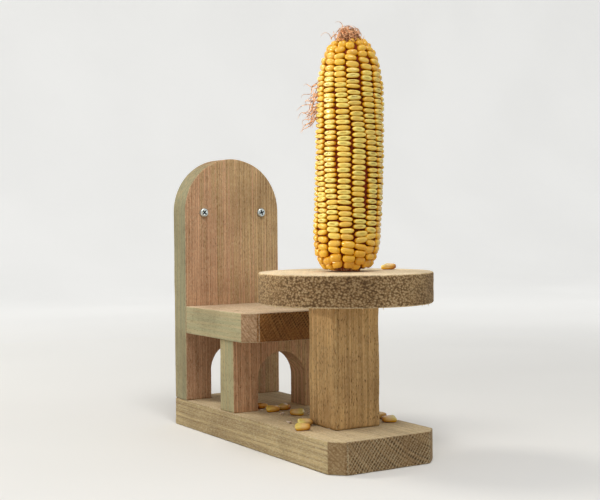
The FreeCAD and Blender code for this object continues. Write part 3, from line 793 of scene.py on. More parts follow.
def cedar_material(node, look):
    """Cedar with rings in depth: long lines on the faces, hatched and pitted bands on the cut ends."""
    figure = FIGURES[node]
    material, bench, shader = new_material(f"cedar_{node}")
    place = bench.add("ShaderNodeTexCoord").outputs["Object"]
    facing = bench.add("ShaderNodeNewGeometry").outputs["Normal"]
    turn = tuple(math.radians(angle) for angle in figure["turn"])
    turned = bench.add("ShaderNodeMapping", {"Vector": place, "Rotation": turn}).outputs[0]
    rings = bench.group("cedar_figure", {"Position": turned, "Pith": figure["pith"],
                                         "Spacing": figure["spacing"], "Wander": figure["wander"]})
    cut = bench.group("end_grain", {"Position": place, "Saw": figure["saw"], "Late": rings["Late"]})
    sawn = bench.group("sawn_face", {"Position": turned})
    wear = bench.group("handling", {"Position": place})
    ends, square = cut_masks(bench, facing, turn, figure["rim"])
    faces = bench.math("SUBTRACT", 1.0, ends)

    # Heartwood with its rings, streaks and fibres
    woods = (look.heart, look.rosy, look.late, look.pits, look.fuzz)
    heart, rosy, late, pits, fuzz = (rgba(wood, figure["tint"]) for wood in woods)
    blush = bench.math("ADD", rings["Streak"], bench.dot(place, ROSIER))
    colour = bench.mix(bench.remap(blush, 0.42, 0.6, 0, figure["rosy"]), heart, rosy)
    colour = bench.mix(bench.times(rings["Late"], figure["ring"]), colour, late)
    colour = bench.mix(bench.remap(rings["Streak"], 0.6, 0.4, 0, 0.4), colour, late)
    colour = bench.mix(bench.remap(rings["Fibre"], 0.5, 0.75, 0, 0.5), colour, late)

    # Sapwood with painted cool sky light on the left-facing faces, flecks, sawn fuzz, and upper faces paled
    # by bleaching and by painted light from above
    fuzzy = faces
    if node in SAP_AND_SKY_BOARDS:
        side = sap_and_sky_mask(bench, place, facing)
        sap_and_sky_light = rgba(look.sap_and_sky_light, SAP_AND_SKY_BOARDS[node])
        pale = bench.mix(bench.remap(rings["Streak"], 0.35, 0.7, 0, 0.45), sap_and_sky_light, heart)
        pale = bench.mix(bench.remap(rings["Fibre"], 0.5, 0.8, 0, 0.35), pale, late)
        colour = bench.mix(side, colour, pale)
        fuzzy = bench.math("SUBTRACT", faces, bench.times(side, 0.6))
    colour = bench.mix(bench.times(rings["Fleck"], faces, figure["fleck"]), colour, pits)
    raised = bench.times(bench.remap(sawn["Fuzz"], 0.46, 0.64), fuzzy, 0.55 * figure["sawn"])
    colour = bench.mix(raised, colour, fuzz)
    # Upward faces paled: partly bleached fibres, partly painted light falling from above.
    if figure["bleach_and_top_light"]:
        upper = bench.remap(bench.dot(facing, UP), 0.6, 0.95, 0, figure["bleach_and_top_light"])
        bleach_and_top_light = bench.times(upper, bench.remap(sawn["Fuzz"], 0.3, 0.6, 0.6, 1))
        colour = bench.mix(bleach_and_top_light, colour, rgba(look.fuzz, BLEACH_AND_TOP_LIGHT))

    # Cut ends, worn edges, blotches and specks
    colour = bench.mix(bench.times(ends, figure["dull"]), colour, late)
    hollow = bench.times(bench.remap(cut["Hatch"], 0.1, 0.7), square, figure["hatch"])
    colour = bench.mix(hollow, colour, pits)
    ridge = bench.times(cut["Ridge"], square, figure["hatch"] * 0.4)
    colour = bench.mix(ridge, colour, fuzz)
    torn = bench.times(cut["Pit"], ends, figure["pit"] * 0.8)
    colour = bench.mix(torn, colour, pits)
    colour = bench.mix(bench.times(cut["Crumb"], ends, 0.1 + 0.4 * figure["pit"]), colour, fuzz)
    colour = bench.mix(square, colour, rgba(figure["stain"]), "MULTIPLY")
    worn = bench.remap(bench.attribute("edge"), 0.25, 0.9)
    colour = bench.mix(bench.times(worn, bench.remap(sawn["Fuzz"], 0.4, 0.6, 0, 0.4)), colour, fuzz)
    colour = bench.mix(bench.remap(wear["Blotch"], 0.35, 0.75, 0, 0.3), colour, late, "MULTIPLY")
    colour = bench.mix(bench.times(wear["Speck"], 0.35), colour, pits)

    rough = bench.remap(rings["Fibre"], 0.3, 0.8, 0.74, 0.95)
    height = bench.times(rings["Fibre"], 0.4)
    for part in ((sawn["Ridge"], 0.6 * figure["sawn"]), (sawn["Fuzz"], 0.8 * figure["sawn"]),
                 (hollow, -0.9), (ridge, 0.8), (torn, -1.3)):
        height = bench.math("ADD", height, bench.times(*part))
    finish_shader(bench, shader, colour, rough, bench.bump(height, 0.7, 0.6 * MM), 0.22)
    return material


def handled(bench, place, scale):
    """The handling marks, made finer by a scale."""
    return bench.group("handling", {"Position": bench.vector("MULTIPLY", place, (scale, scale, scale))})


def splinter_material(look):
    """Loose slivers of pale wood, browner here and there."""
    material, bench, shader = new_material("splinters")
    place = bench.add("ShaderNodeTexCoord").outputs["Object"]
    wear = handled(bench, place, 9)
    colour = bench.mix(bench.remap(wear["Blotch"], 0.4, 0.7), rgba(look.fuzz), rgba(look.heart))
    rough = bench.remap(wear["Blotch"], 0.3, 0.7, 0.75, 0.9)
    finish_shader(bench, shader, colour, rough, bench.bump(wear["Blotch"], 0.2, 0.1 * MM), 0.2)
    return material


def steel_material(name, plate, dull):
    """Plated steel with faint scratches, dull spots, and painted shade, nearly black, where a recess is
    marked.
    """
    material, bench, shader = new_material(name)
    place = bench.add("ShaderNodeTexCoord").outputs["Object"]
    wear = handled(bench, place, 6)
    scratches = bench.noise(place, (900, 900, 900), 2, 0.6)
    spots = bench.remap(wear["Blotch"], 0.35, 0.7, 0, 0.4)
    colour = bench.mix(spots, rgba(plate), rgba(plate, (0.5, 0.5, 0.5)))
    # Painted shade: the marked recess faces go almost black, standing in for the shadow inside the driver
    # recess.
    colour = bench.mix(bench.attribute("grime"), colour, rgba(plate, (0.03, 0.03, 0.03)))
    rough = bench.remap(wear["Blotch"], 0.3, 0.7, dull - 0.1, dull + 0.12)
    finish_shader(bench, shader, colour, rough, bench.bump(scratches, 0.25, 0.1 * MM), 0.5, metallic=1.0)
    return material


def kernel_material(look):
    """Waxy kernels: red-brown at the root, which is partly painted shade deep between them, orange on the
    flank, pale on the rim of a dented crown, with painted shade in the dent.
    """
    material, bench, shader = new_material("dent_corn")
    place = bench.add("ShaderNodeTexCoord").outputs["Object"]
    rise, dent, tone, pale = (bench.attribute(name) for name in ("rise", "dent", "tone", "pale"))
    wear = handled(bench, place, 9)
    ripe = bench.mix(tone, rgba(look.flank), rgba(look.flank, (1.08, 1.3, 1.5)))
    # Red-brown towards the root: the chaff's own colour, and painted shade deep between the kernels.
    colour = bench.mix(bench.remap(rise, 0.05, 0.62), rgba(look.root), ripe)
    top = bench.times(bench.remap(rise, 0.6, 0.9), bench.remap(pale, 0, 1, 0.2, 0.95))
    colour = bench.mix(top, colour, rgba(look.crown))
    # Darker in the dent: the crease's duller tone and painted shade in the hollow.
    colour = bench.mix(bench.remap(dent, 0.2, 0.85, 0, 0.75), colour, rgba(look.crease_and_shade))
    colour = bench.mix(bench.attribute("germ"), colour, rgba(look.germ))
    colour = bench.mix(bench.remap(wear["Blotch"], 0.4, 0.75, 0, 0.3), colour, rgba(look.flank))
    grain = bench.noise(place, (1500, 1500, 1500))
    rough = bench.remap(grain, 0.3, 0.7, 0.17, 0.28)
    finish_shader(bench, shader, colour, rough, bench.bump(grain, 0.12, 0.15 * MM), 0.36)
    return material


def pith_material(name, dark, pale):
    """Dry fibrous cob: a darker colour in the hollows under pale chaff, which in the kernel bed is painted
    shade.
    """
    material, bench, shader = new_material(name)
    place = bench.add("ShaderNodeTexCoord").outputs["Object"]
    chaff = bench.noise(place, (700, 700, 260), 4, 0.65)
    wear = handled(bench, place, 4)
    colour = bench.mix(bench.remap(chaff, 0.35, 0.65), rgba(dark), rgba(pale))
    bleached = rgba(pale, (1.15, 1.2, 1.25))
    colour = bench.mix(bench.remap(wear["Blotch"], 0.35, 0.7, 0, 0.4), colour, bleached)
    rough = bench.remap(chaff, 0.3, 0.7, 0.8, 0.95)
    finish_shader(bench, shader, colour, rough, bench.bump(chaff, 0.7, 0.6 * MM), 0.2)
    return material


def silk_material(look):
    """Brittle brown strands, paler and pinker here and there."""
    material, bench, shader = new_material("dry_silk")
    place = bench.add("ShaderNodeTexCoord").outputs["Object"]
    along = bench.noise(place, (420, 420, 420), 2, 0.6)
    brown = rgba(look.silk, (0.45, 0.4, 0.38))
    pale = rgba(look.silk, (1.45, 1.55, 1.65))
    colour = bench.mix(bench.remap(along, 0.38, 0.62), brown, pale)
    rough = bench.remap(along, 0.3, 0.7, 0.6, 0.8)
    finish_shader(bench, shader, colour, rough, bench.bump(along, 0.2, 0.1 * MM), 0.15)
    return material


# Ear of corn

GOLDEN_ANGLE = math.pi * (3 - math.sqrt(5))
# Rows: what they leave free at each end of the barrel, and where and by how much the kernels spread there
ROW_CLEAR = 1.0 * MM
ROW_END = 40 * MM
END_WIDER = 0.75
# Turn of the first row in rows, level at which the rows stand untwisted, and sway and wander in radians
FIRST_ROW = 0.86
UNTWISTED = 0.42
ROW_SWAY = 0.04
ROW_WANDER = 0.025
# Shares of the ear's length: ends of the even rows, how softly they break up there, and top of the butt
EVEN_FROM = 0.04
EVEN_TO = 0.97
EVEN_FADE = 0.16
BUTT_TOP = 0.2
# Random changes of a kernel: turn round the ear, stand off the barrel, skew, tilt and slide of its crown
KERNEL_TURN = 0.018
KERNEL_STAND = 0.3 * MM
KERNEL_SKEW = 0.07
KERNEL_TILT = 0.2
KERNEL_SLIDE = 0.2
# Depth of a full dent, and clearance of the lowest kernels over the table
DENT_DEPTH = 0.8 * MM
TABLE_CLEAR = 0.1 * MM
# Rings of one kernel from the middle of its crown to its root: shares of its half width and half height,
# drop in millimetres where the crown is flat and where it is round, share of the dent, and rise from the root
KERNEL_RINGS = np.array([
    (0.00, 0.00, 0.00, 0.00, 1.0, 0.92),
    (0.30, 0.17, 0.00, 0.12, 0.8, 0.95),
    (0.56, 0.50, 0.18, 0.55, 0.0, 1.00),
    (0.80, 0.82, 0.95, 1.40, 0.0, 0.85),
    (0.92, 0.98, 2.10, 2.50, 0.0, 0.42),
    (0.80, 0.99, 4.60, 4.80, 0.0, 0.00),
    (0.00, 0.00, 4.60, 4.80, 0.0, 0.00),
])


def ear_radius(height):
    """Barrel radius: a superellipse of the share of the way from the widest level to either end.

    The lower end lies a little below the table, so that the butt stands on a flat.
    """
    share = np.where(height < EAR_WIDEST, (EAR_WIDEST - height) / (EAR_WIDEST + EAR_FLAT),
                     (height - EAR_WIDEST) / (EAR_LENGTH - EAR_WIDEST))
    return EAR_RADIUS * np.maximum(1 - np.clip(share, 0, 1) ** EAR_POWER, 0) ** EAR_FULLNESS


def stand_ear(points, look):
    """Points of an upright ear at the origin, bowed by a half sine, leant over and set on the table."""
    bow = look.bow * np.sin(np.pi * np.clip(points[..., 2] / EAR_LENGTH, 0, 1))
    bent = points + bow[..., None] * VIEW_RIGHT
    return bent @ np.array(Matrix.Rotation(EAR_LEAN, 3, "Y")).T + EAR_FOOT


def ear_chaff(look, inset=3.2 * MM, least=4 * MM, clear=2 * MM):
    """The red-brown bed of the kernels, darkened in its material by painted shade: a barrel a little inside
    their crowns, closed at both ends.
    """
    height = np.linspace(clear, EAR_LENGTH - clear, 60)
    sunk = np.maximum(ear_radius(height) - inset, least)
    profile = [(0, height[0]), *zip(sunk, height), (0, height[-1])]
    points, faces = lathe(profile, 56)
    return stand_ear(points, look), faces


def row_pitch(travel, total, look):
    """Spacing of the kernels at a distance along a row: even in the middle and wider over both ends."""
    end = np.clip(1 - np.minimum(travel, total - travel) / ROW_END, 0, 1)
    return look.pitch * (1 + END_WIDER * end)


def ear_layout(look):
    """Where the kernels stand: rows set out by arc length along the barrel, each shifted by its own amount.

    Gives every kernel's row, eight lists of random numbers from -1 to 1, and the height, the radius, the
    slope of the barrel and the spacing at every kernel's place.
    """
    fine = np.linspace(ROW_CLEAR, EAR_LENGTH - ROW_CLEAR, 3000)
    radius = ear_radius(fine)
    length = np.concatenate([[0], np.cumsum(np.hypot(np.diff(fine), np.diff(radius)))])
    total = length[-1]
    order = np.concatenate([[0], np.cumsum(np.diff(length) / row_pitch(length[1:], total, look))])
    count = int(order[-1])
    row = np.repeat(np.arange(look.rows), count)
    kernel = np.tile(np.arange(count), look.rows)
    slip, *random = (2 * scatter(look.rows * count, seed) - 1 for seed in range(9))
    shift = np.repeat(scatter(look.rows, 9), count)
    place = np.clip(kernel + 0.1 + 0.8 * shift + 0.1 * slip, 0.1, order[-1] - 0.2)
    travel = np.interp(place, order, length)
    height = np.interp(travel, length, fine)
    wide = np.interp(travel, length, radius)
    ahead = np.clip(travel + 0.5 * MM, 0, total)
    outward = np.interp(ahead, length, radius) - wide
    upward = np.interp(ahead, length, fine) - height
    slope = unit(np.stack([outward, upward], axis=1))
    return row, random, height, wide, slope, row_pitch(travel, total, look)


def ear_kernels(look, sides=12):
    """Every kernel of the ear at once, each a stack of rings that faces outwards from the barrel.

    A ring is a rounded block: signed powers of a cosine and a sine, squarer towards the butt. A kernel is
    turned, skewed, tilted and sized a little at random, more so where the rows break up near both ends.
    """
    row, random, height, wide, slope, pitch = ear_layout(look)
    turn, stand, deep, broad, tall, skew, tilt, slide = random
    share = height / EAR_LENGTH
    middle = np.clip(np.minimum(share - EVEN_FROM, EVEN_TO - share) / EVEN_FADE, 0, 1)
    butt = np.clip(1 - share / BUTT_TOP, 0, 1)
    loose = 1 + 2.5 * (1 - middle)
    wander = smooth_noise(np.stack([37.0 * row, 7 * share, 0 * share], axis=1), 1.0)
    sway = np.sin(11 * share + 0.9 * row)
    drift = look.twist * (UNTWISTED - share) + ROW_SWAY * sway + ROW_WANDER * wander
    angle = 2 * np.pi * (row + FIRST_ROW) / look.rows + drift + KERNEL_TURN * loose * turn
    level = np.zeros_like(angle)
    out = np.stack([np.cos(angle), np.sin(angle), level], axis=1)
    side = np.stack([-np.sin(angle), np.cos(angle), level], axis=1)
    up = np.array(UP)
    face = out * slope[:, 1:] - up * slope[:, :1]
    lift = out * slope[:, :1] + up * slope[:, 1:]
    crown = out * wide[:, None] + up * height[:, None] + face * (KERNEL_STAND * stand)[:, None]

    side_share, up_share, flat_drop, round_drop, hollow, rise = KERNEL_RINGS.T
    wave = np.linspace(0, 2 * np.pi, sides, endpoint=False)
    circle = np.stack([np.cos(wave), np.sin(wave)], axis=1)
    outline = np.sign(circle) * np.abs(circle) ** (0.82 - 0.17 * butt)[:, None, None]
    dented = middle * (0.68 + 0.32 * deep)
    half_side = np.pi * wide / look.rows * (1 + 0.06 * butt + 0.06 * broad)
    half_up = 0.5 * pitch * (1 + 0.1 * butt + 0.05 * tall + 0.12 * tall ** 3)
    dome = (1 - middle) * (1 - 0.6 * butt)
    drop = flat_drop[None] + (round_drop - flat_drop)[None] * dome[:, None]
    sunk = drop * MM + DENT_DEPTH * dented[:, None] * hollow[None]
    along_side = half_side[:, None, None] * side_share[None, :, None] * outline[:, None, :, 0]
    along_up = half_up[:, None, None] * up_share[None, :, None] * outline[:, None, :, 1]
    skewed = (KERNEL_SKEW * loose * skew)[:, None, None] * along_side
    slid = (KERNEL_SLIDE * half_up * slide)[:, None] * hollow
    along_up = along_up + skewed + slid[..., None]
    depth = sunk[..., None] + (KERNEL_TILT * tilt)[:, None, None] * along_up
    points = (crown[:, None, None] + along_side[..., None] * side[:, None, None]
              + along_up[..., None] * lift[:, None, None] - depth[..., None] * face[:, None, None])
    size = points.shape[:3]
    marks = {
        "rise": np.broadcast_to(rise[None, :, None], size),
        "dent": np.broadcast_to((dented[:, None] * hollow)[:, :, None], size),
        "tone": np.broadcast_to((0.5 + 0.5 * stand)[:, None, None], size),
        "pale": np.broadcast_to(dented[:, None, None], size),
    }
    points = stand_ear(points, look)
    points[..., 2] = np.maximum(points[..., 2], TABLE_TOP + TABLE_CLEAR)
    return points, tube_faces(len(rise), sides, len(row)), marks


def strands(starts, leads, lengths, curl, bends, thick, steps):
    """Many fine strands at once, as four-sided tubes that end in points.

    Each is a straight lead with a curl round it that grows along the strand and makes about bends turns.
    """
    copies = len(starts)
    share = np.linspace(0, 1, steps)
    lead = unit(leads)
    helper = np.where(np.abs(lead[:, 2:]) > 0.9, np.array([[1.0, 0, 0]]), np.array([[0, 0, 1.0]]))
    one = unit(np.cross(lead, helper))
    two = np.cross(lead, one)
    turns = bends * (0.6 + 0.8 * scatter(copies, 31))
    phase = 2 * np.pi * (scatter(copies, 32)[:, None] + turns[:, None] * share)
    swing = curl[:, None] * share
    path = (starts[:, None] + lead[:, None] * (lengths[:, None] * share)[..., None]
            + one[:, None] * (swing * np.cos(phase))[..., None]
            + two[:, None] * (swing * np.sin(phase))[..., None])
    tangent = unit(np.gradient(path, axis=1))
    first = unit(np.cross(tangent, one[:, None] + 0.3 * two[:, None]))
    second = np.cross(tangent, first)
    angle = np.arange(4) * np.pi / 2
    ring = first[:, :, None] * np.cos(angle)[:, None] + second[:, :, None] * np.sin(angle)[:, None]
    taper = thick * np.sin(np.pi * share ** 0.5) ** 0.5
    taper[[0, -1]] = 0
    points = path[:, :, None] + ring * taper[None, :, None, None]
    return points, tube_faces(steps, 4, copies)


def silk_tuft(look, count=110):
    """A curly ball on the ear's tip: strands that leave its middle in evenly spread directions.

    The ball is wider than it is high and sits a little to the front; a few strands are longer.
    """
    number = np.arange(count)
    rise = 1 - 1.7 * (number + 0.5) / count
    level = 1.35 * np.sqrt(1 - rise ** 2)
    angle = number * GOLDEN_ANGLE
    leads = np.stack([level * np.cos(angle), level * np.sin(angle), rise], axis=1)
    starts = np.array([-3.8, -4.2, EAR_LENGTH / MM - 1.5]) * MM + 1.2 * MM * leads
    lengths = (3.8 + 3.9 * scatter(count, 41)) * MM * np.linalg.norm(leads, axis=1)
    lengths = lengths * np.where(number % 47 == 25, 2.2, 1)
    curl = (1.6 + 2.4 * scatter(count, 42)) * MM
    points, faces = strands(starts, leads, lengths, curl, bends=2.4, thick=0.45 * MM, steps=24)
    return stand_ear(points, look), faces


def silk_wisps(look, count=28):
    """Loose wavy hairs off the left side of the ear: most hang down beside it and a few stick out."""
    height = (110 + 30 * scatter(count, 51)) * MM
    angle = math.pi - VIEW_YAW + 0.5 * (scatter(count, 52) - 0.5)
    out = np.stack([np.cos(angle), np.sin(angle), 0 * angle], axis=1)
    up = np.array(UP)
    starts = out * (ear_radius(height) - 1.0 * MM)[:, None] + height[:, None] * up
    droop = np.where(np.arange(count) % 7 == 0, 0.25, 0.9 + 0.9 * scatter(count, 54))
    leads = out - droop[:, None] * up
    lengths = (6 + 14 * scatter(count, 55) ** 1.5) * MM
    curl = (1.0 + 2.2 * scatter(count, 56)) * MM
    points, faces = strands(starts, leads, lengths, curl, bends=1.3, thick=0.34 * MM, steps=20)
    return stand_ear(points, look), faces


# Loose pieces

# Loose kernels on the base and on the table: across, forward of the back, turn and roll in degrees, paleness
BASE_KERNELS = np.array([
    (-14, 92, 30, 0, 0.1), (-14, 111, 160, -12, 0.5), (-2, 108, 110, -10, 0.7), (-7, 135, 325, 14, 1.0),
    (12, 142, 120, -15, 1.0), (-25, 176, 170, -16, 1.0), (-36, 190, 150, -13, 0.7), (36, 182, 120, -15, 1.0),
    (33, 198, 340, 12, 0.8),
])
TABLE_KERNELS = np.array([(43, 186, 110, -12, 1.0)])
# Pale flakes of chaff that lie beside them on the base: across, forward of the back, turn in degrees, size
FLAKES = np.array([
    (-16, 128, 40, 1.0), (-20, 104, 70, 0.7), (36, 172, 10, 1.0), (1, 139, 20, 0.8), (-30, 162, 130, 0.9),
    (4, 124, 80, 0.6), (8, 133, 200, 1.1), (-12, 150, 15, 0.5), (-30, 182, 250, 0.6), (-18, 197, 100, 0.5),
    (26, 194, 60, 0.7),
])


def spin(degrees, axis):
    """Turning matrices about one axis, one for each angle."""
    angle = np.radians(degrees)
    first, second = (axis + 1) % 3, (axis + 2) % 3
    turn = np.tile(np.eye(3), (len(angle), 1, 1))
    turn[:, first, first] = np.cos(angle)
    turn[:, second, second] = np.cos(angle)
    turn[:, second, first] = np.sin(angle)
    turn[:, first, second] = -np.sin(angle)
    return turn


def lay_down(shape, turns, spots):
    """Copies of one shape, each turned by its matrix and lowered until it rests on its spot."""
    points = np.einsum("kij,rsj->krsi", turns, shape)
    points[..., 2] -= points[..., 2].min(axis=(1, 2))[:, None, None]
    return points + spots[:, None, None]


def loose_kernels(rings=16, sides=20, length=11.5 * MM, groove_half=1.5 * MM, groove_depth=0.8 * MM):
    """Flat kernels from tip to cap: superellipse sections that widen along them, with a groove on top."""
    spots = np.concatenate([BASE_KERNELS, TABLE_KERNELS])
    level = np.where(np.arange(len(spots)) < len(BASE_KERNELS), BASE_TOP, TABLE_TOP)
    share = np.linspace(0, 1, rings)
    swell = np.clip(1 - np.abs(2 * share - 1) ** 7, 0, 1) ** 0.5
    half_wide = (2.2 + 2.1 * np.clip(share / 0.8, 0, 1)) * MM * swell
    half_thick = (1.5 + 0.6 * np.sin(np.pi * np.clip(share * 0.8 + 0.1, 0, 1))) * MM * swell
    wave = np.linspace(0, 2 * np.pi, sides, endpoint=False)
    outline = np.stack([np.cos(wave), np.sin(wave)], axis=1)
    outline = np.sign(outline) * np.abs(outline) ** 0.6
    x = np.repeat((share[:, None] - 0.5) * length, sides, axis=1)
    y = half_wide[:, None] * outline[:, 0]
    groove = np.clip(share - 0.1, 0, 1)[:, None] * np.exp(-(y / groove_half) ** 2)
    groove = groove * np.clip(outline[:, 1], 0, 1)
    z = half_thick[:, None] * outline[:, 1] - groove_depth * groove * swell[:, None]
    places = np.stack([spots[:, 0] * MM, -spots[:, 1] * MM, level], axis=1)
    turns = spin(spots[:, 2], 2) @ spin(spots[:, 3], 0)
    points = lay_down(np.stack([x, y, z], axis=-1), turns, places)

    size = points.shape[:3]
    paleness = spots[:, 4][:, None, None]
    # The underside takes the root's red-brown: painted shade under each kernel.
    upper = np.clip(0.78 + 0.8 * outline[:, 1], 0, 1)
    shield = np.exp(-((share - 0.42) / 0.26) ** 2)[:, None] * np.clip(0.35 + outline[:, 1], 0, 1) ** 0.5
    cap = np.clip(3.2 * share - 1.4, 0, 1)[None, :, None]
    marks = {
        "rise": np.broadcast_to((0.14 + 0.86 * share[:, None] ** 0.5 * upper)[None], size),
        "germ": np.broadcast_to(0.6 * shield[None] * paleness, size),
        "dent": np.broadcast_to(groove[None] * 0.6, size),
        "tone": np.broadcast_to(paleness, size),
        "pale": np.broadcast_to(cap * paleness, size),
    }
    return points, tube_faces(rings, sides, len(spots)), marks


def chaff_flakes(rings=5, sides=10, half_long=2.6 * MM, half_wide=1.7 * MM):
    """Small curled scales: a shallow cup over and a deeper cup under, joined at the rim and bent along."""
    share = np.concatenate([np.linspace(0, 1, rings), np.linspace(1, 0, rings)[1:]])[:, None]
    depth = np.where(np.arange(len(share)) < rings, 0.2, 0.45)[:, None]
    wave = np.linspace(0, 2 * np.pi, sides, endpoint=False)
    x = half_long * share * np.cos(wave)
    y = half_wide * share * np.sin(wave)
    z = MM * (0.9 * share ** 2 - depth * (1 - share ** 2)) + 120 * x * x
    places = np.stack([FLAKES[:, 0] * MM, -FLAKES[:, 1] * MM, np.full(len(FLAKES), BASE_TOP)], axis=1)
    turns = spin(FLAKES[:, 2], 2) * FLAKES[:, 3, None, None]
    return lay_down(np.stack([x, y, z], axis=-1), turns, places), tube_faces(len(share), sides, len(FLAKES))


def board_splinters(count=56, inset=0.4 * MM, left_from=20 * MM, left_run=200 * MM):
    """Slivers along the base's front and left edges, the seat's front edge and under the table's rim.

    Each edge is a line or an arc that the slivers share out by a random number along it.
    """
    low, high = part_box("base_board")
    seat_low, seat_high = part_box("seat_board")
    table_low, table_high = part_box("table_top")
    along = scatter(count, 61)
    still = 0 * along
    swing = np.pi * (0.95 + 0.75 * along)
    radius = (table_high.x - table_low.x) / 2 - 2 * inset
    front = ((high.x - CORNER_CUT) * (2 * along - 1), still + low.y + inset, still + low.z + inset)
    left = (still + low.x + inset, low.y + left_from + left_run * along, still + high.z - inset)
    seat = ((seat_high.x - CORNER_CUT) * (2 * along - 1), still + seat_low.y + inset,
            still + seat_high.z - inset)
    rim = (TABLE_MIDDLE.x + radius * np.cos(swing), TABLE_MIDDLE.y + radius * np.sin(swing),
           still + table_low.z + inset)
    ways = np.array([(0.3, -0.8, 0.3), (-0.7, -0.5, 0.4), (-0.3, -0.8, 0.2), (-0.3, -0.2, -0.8)])
    kind = np.arange(count) % len(ways)
    starts = np.choose(kind[:, None], [np.stack(edge, axis=1) for edge in (front, left, seat, rim)])
    leads = ways[kind] + 0.5 * np.stack([scatter(count, seed) - 0.5 for seed in (62, 63, 64)], axis=1)
    lengths = (0.8 + 1.8 * scatter(count, 65) ** 2) * MM
    return strands(starts, leads, lengths, 0.2 * lengths, bends=0.5, thick=0.2 * MM, steps=8)


# Screws


def threaded(head, radius, start, end, pitch, ridge):
    """A screw spun about Z, pointing down: a head outline, then a shank with a helical ridge.

    The shank tapers over its last few radii, and the ridge fades at its start and at the point.
    """
    tip = 3 * radius
    stem = np.arange(start, end, -pitch / 9)
    taper = np.clip((stem - end) / tip, 0.04, 1)
    profile = [*head, *zip(radius * taper, stem), (0, end)]

    def sway(height, angle):
        phase = (height / pitch + angle / (2 * np.pi)) % 1
        crest = np.clip(1 - np.abs(phase - 0.5) * 5, 0, 1)
        fade = np.clip((start - height) / pitch, 0, 1) * np.clip((height - end) / tip, 0, 1)
        return ridge * (crest - 1) * fade

    return lathe(profile, 36, sway)


def cross_cutter(spot, turn, reach=2.4 * MM, half=0.62 * MM, depth=1.7 * MM, clear=0.6 * MM):
    """A tapering cross for a driver recess, entering a head from the front along +Y."""
    arm = np.array([(half, half), (reach, half), (reach, -half)])
    quarter = np.array([[0, -1], [1, 0]])
    corners = np.concatenate([arm @ np.linalg.matrix_power(quarter, number) for number in range(4)])
    angle = math.radians(turn)
    corners = corners @ np.array([[math.cos(angle), math.sin(angle)], [-math.sin(angle), math.cos(angle)]])
    levels = [(-clear, 0.0), (-clear, 1.1), (depth, 0.45), (depth, 0.0)]
    rings = [np.stack([corners[:, 0] * share, np.full(len(corners), level), corners[:, 1] * share], axis=1)
             for level, share in levels]
    return make_cutter(np.stack(rings) + spot, tube_faces(len(levels), len(corners)))


def mark_recess(piece, front, reach, depth, skin=0.05 * MM):
    """Mark a head's recess for painted shade: the faces behind its flat front and within a reach of its axis.
    """
    mesh = piece.data
    middles = np.empty(3 * len(mesh.polygons), dtype=np.float32)
    mesh.polygons.foreach_get("center", middles)
    offset = middles.reshape(-1, 3) - front
    inside = (np.hypot(offset[:, 0], offset[:, 2]) < reach) & (offset[:, 1] > skin) & (offset[:, 1] < depth)
    layer = mesh.attributes.new("grime", "FLOAT", "FACE")
    layer.data.foreach_set("value", inside.astype(np.float32))


def fastener_spots(start, within=""):
    """Middles of the boxes of the nodes whose names start with one text and hold another."""
    boxes = [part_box(name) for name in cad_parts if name.startswith(start) and within in name]
    return [(low + high) / 2 for low, high in boxes]


def coat_piece(piece, material):
    """Give a new piece its one material."""
    piece.data.materials.append(bpy.data.materials[material])


def coat_node(name, material):
    """Give a carried-over node its one material."""
    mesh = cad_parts[name].data
    mesh.materials.clear()
    mesh.materials.append(bpy.data.materials[material])


# Operators, one for each piece or group of like pieces


class FEEDER_OT_finishes(Operator):
    """Make the shared node groups and all the materials except the floor's"""

    bl_idname = "feeder.finishes"
    bl_label = "Finishes"

    def execute(self, context):
        cedar = context.scene.feeder_cedar
        steel = context.scene.feeder_steel
        corn = context.scene.feeder_corn
        cedar_figure_group()
        end_grain_group()
        sawn_face_group()
        handling_group()
        splinter_material(cedar)
        steel_material("zinc_plate", steel.zinc, dull=0.32)
        steel_material("dull_coat", steel.coat, dull=0.42)
        kernel_material(corn)
        pith_material("dry_cob", corn.root, corn.pith)
        # The bed's dark end is the root colour at 0.3: painted shade deep between the kernels.
        pith_material("red_chaff", tuple(value * 0.3 for value in corn.root), corn.root)
        pith_material("pale_chaff", tuple(value ** 0.6 for value in corn.pith),
                      tuple(value ** 0.2 for value in corn.pith))
        silk_material(corn)
        for node in FIGURES:
            cedar_material(node, cedar)
        return {"FINISHED"}


class FEEDER_OT_level_boards(Operator):
    """Build the base and the seat, with their front corners cut off"""

    bl_idname = "feeder.level_boards"
    bl_label = "Base and seat"

    def execute(self, context):
        look = context.scene.feeder_cedar
        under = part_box("base_board")[0].z
        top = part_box("seat_board")[1].z
        screws = fastener_spots("base_", "_screw_")
        nails = fastener_spots("seat_nail_")
        base = plank("base_board", *level_board_lines("base_board", look), look, grain=REAR)
        cut_with(base, [sink_cutter((spot.x, spot.y, under), "-Z", SCREW_HEAD, HEAD_SINK) for spot in screws])
        coat_piece(base, "cedar_base_board")
        seat = plank("seat_board", *level_board_lines("seat_board", look), look, grain=REAR)
        cut_with(seat, [sink_cutter((spot.x, spot.y, top), "Z", NAIL_HEAD, NAIL_SINK) for spot in nails])
        coat_piece(seat, "cedar_seat_board")
        return {"FINISHED"}


class FEEDER_OT_arched_boards(Operator):
    """Build the back board and the seat support, each standing on two legs beside an arch"""

    bl_idname = "feeder.arched_boards"
    bl_label = "Back and seat support"

    def execute(self, context):
        look = context.scene.feeder_cedar
        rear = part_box("back_board")[1].y
        screws = fastener_spots("seat_back_screw_")
        back = plank("back_board", *arched_board_lines("back_board", "round", look), look, grain=UP)
        cut_with(back, [sink_cutter((spot.x, rear, spot.z), "Y", SCREW_HEAD, HEAD_SINK) for spot in screws])
        coat_piece(back, "cedar_back_board")
        support = plank("seat_support", *arched_board_lines("seat_support", "flat", look), look, grain=UP)
        coat_piece(support, "cedar_seat_support")
        return {"FINISHED"}


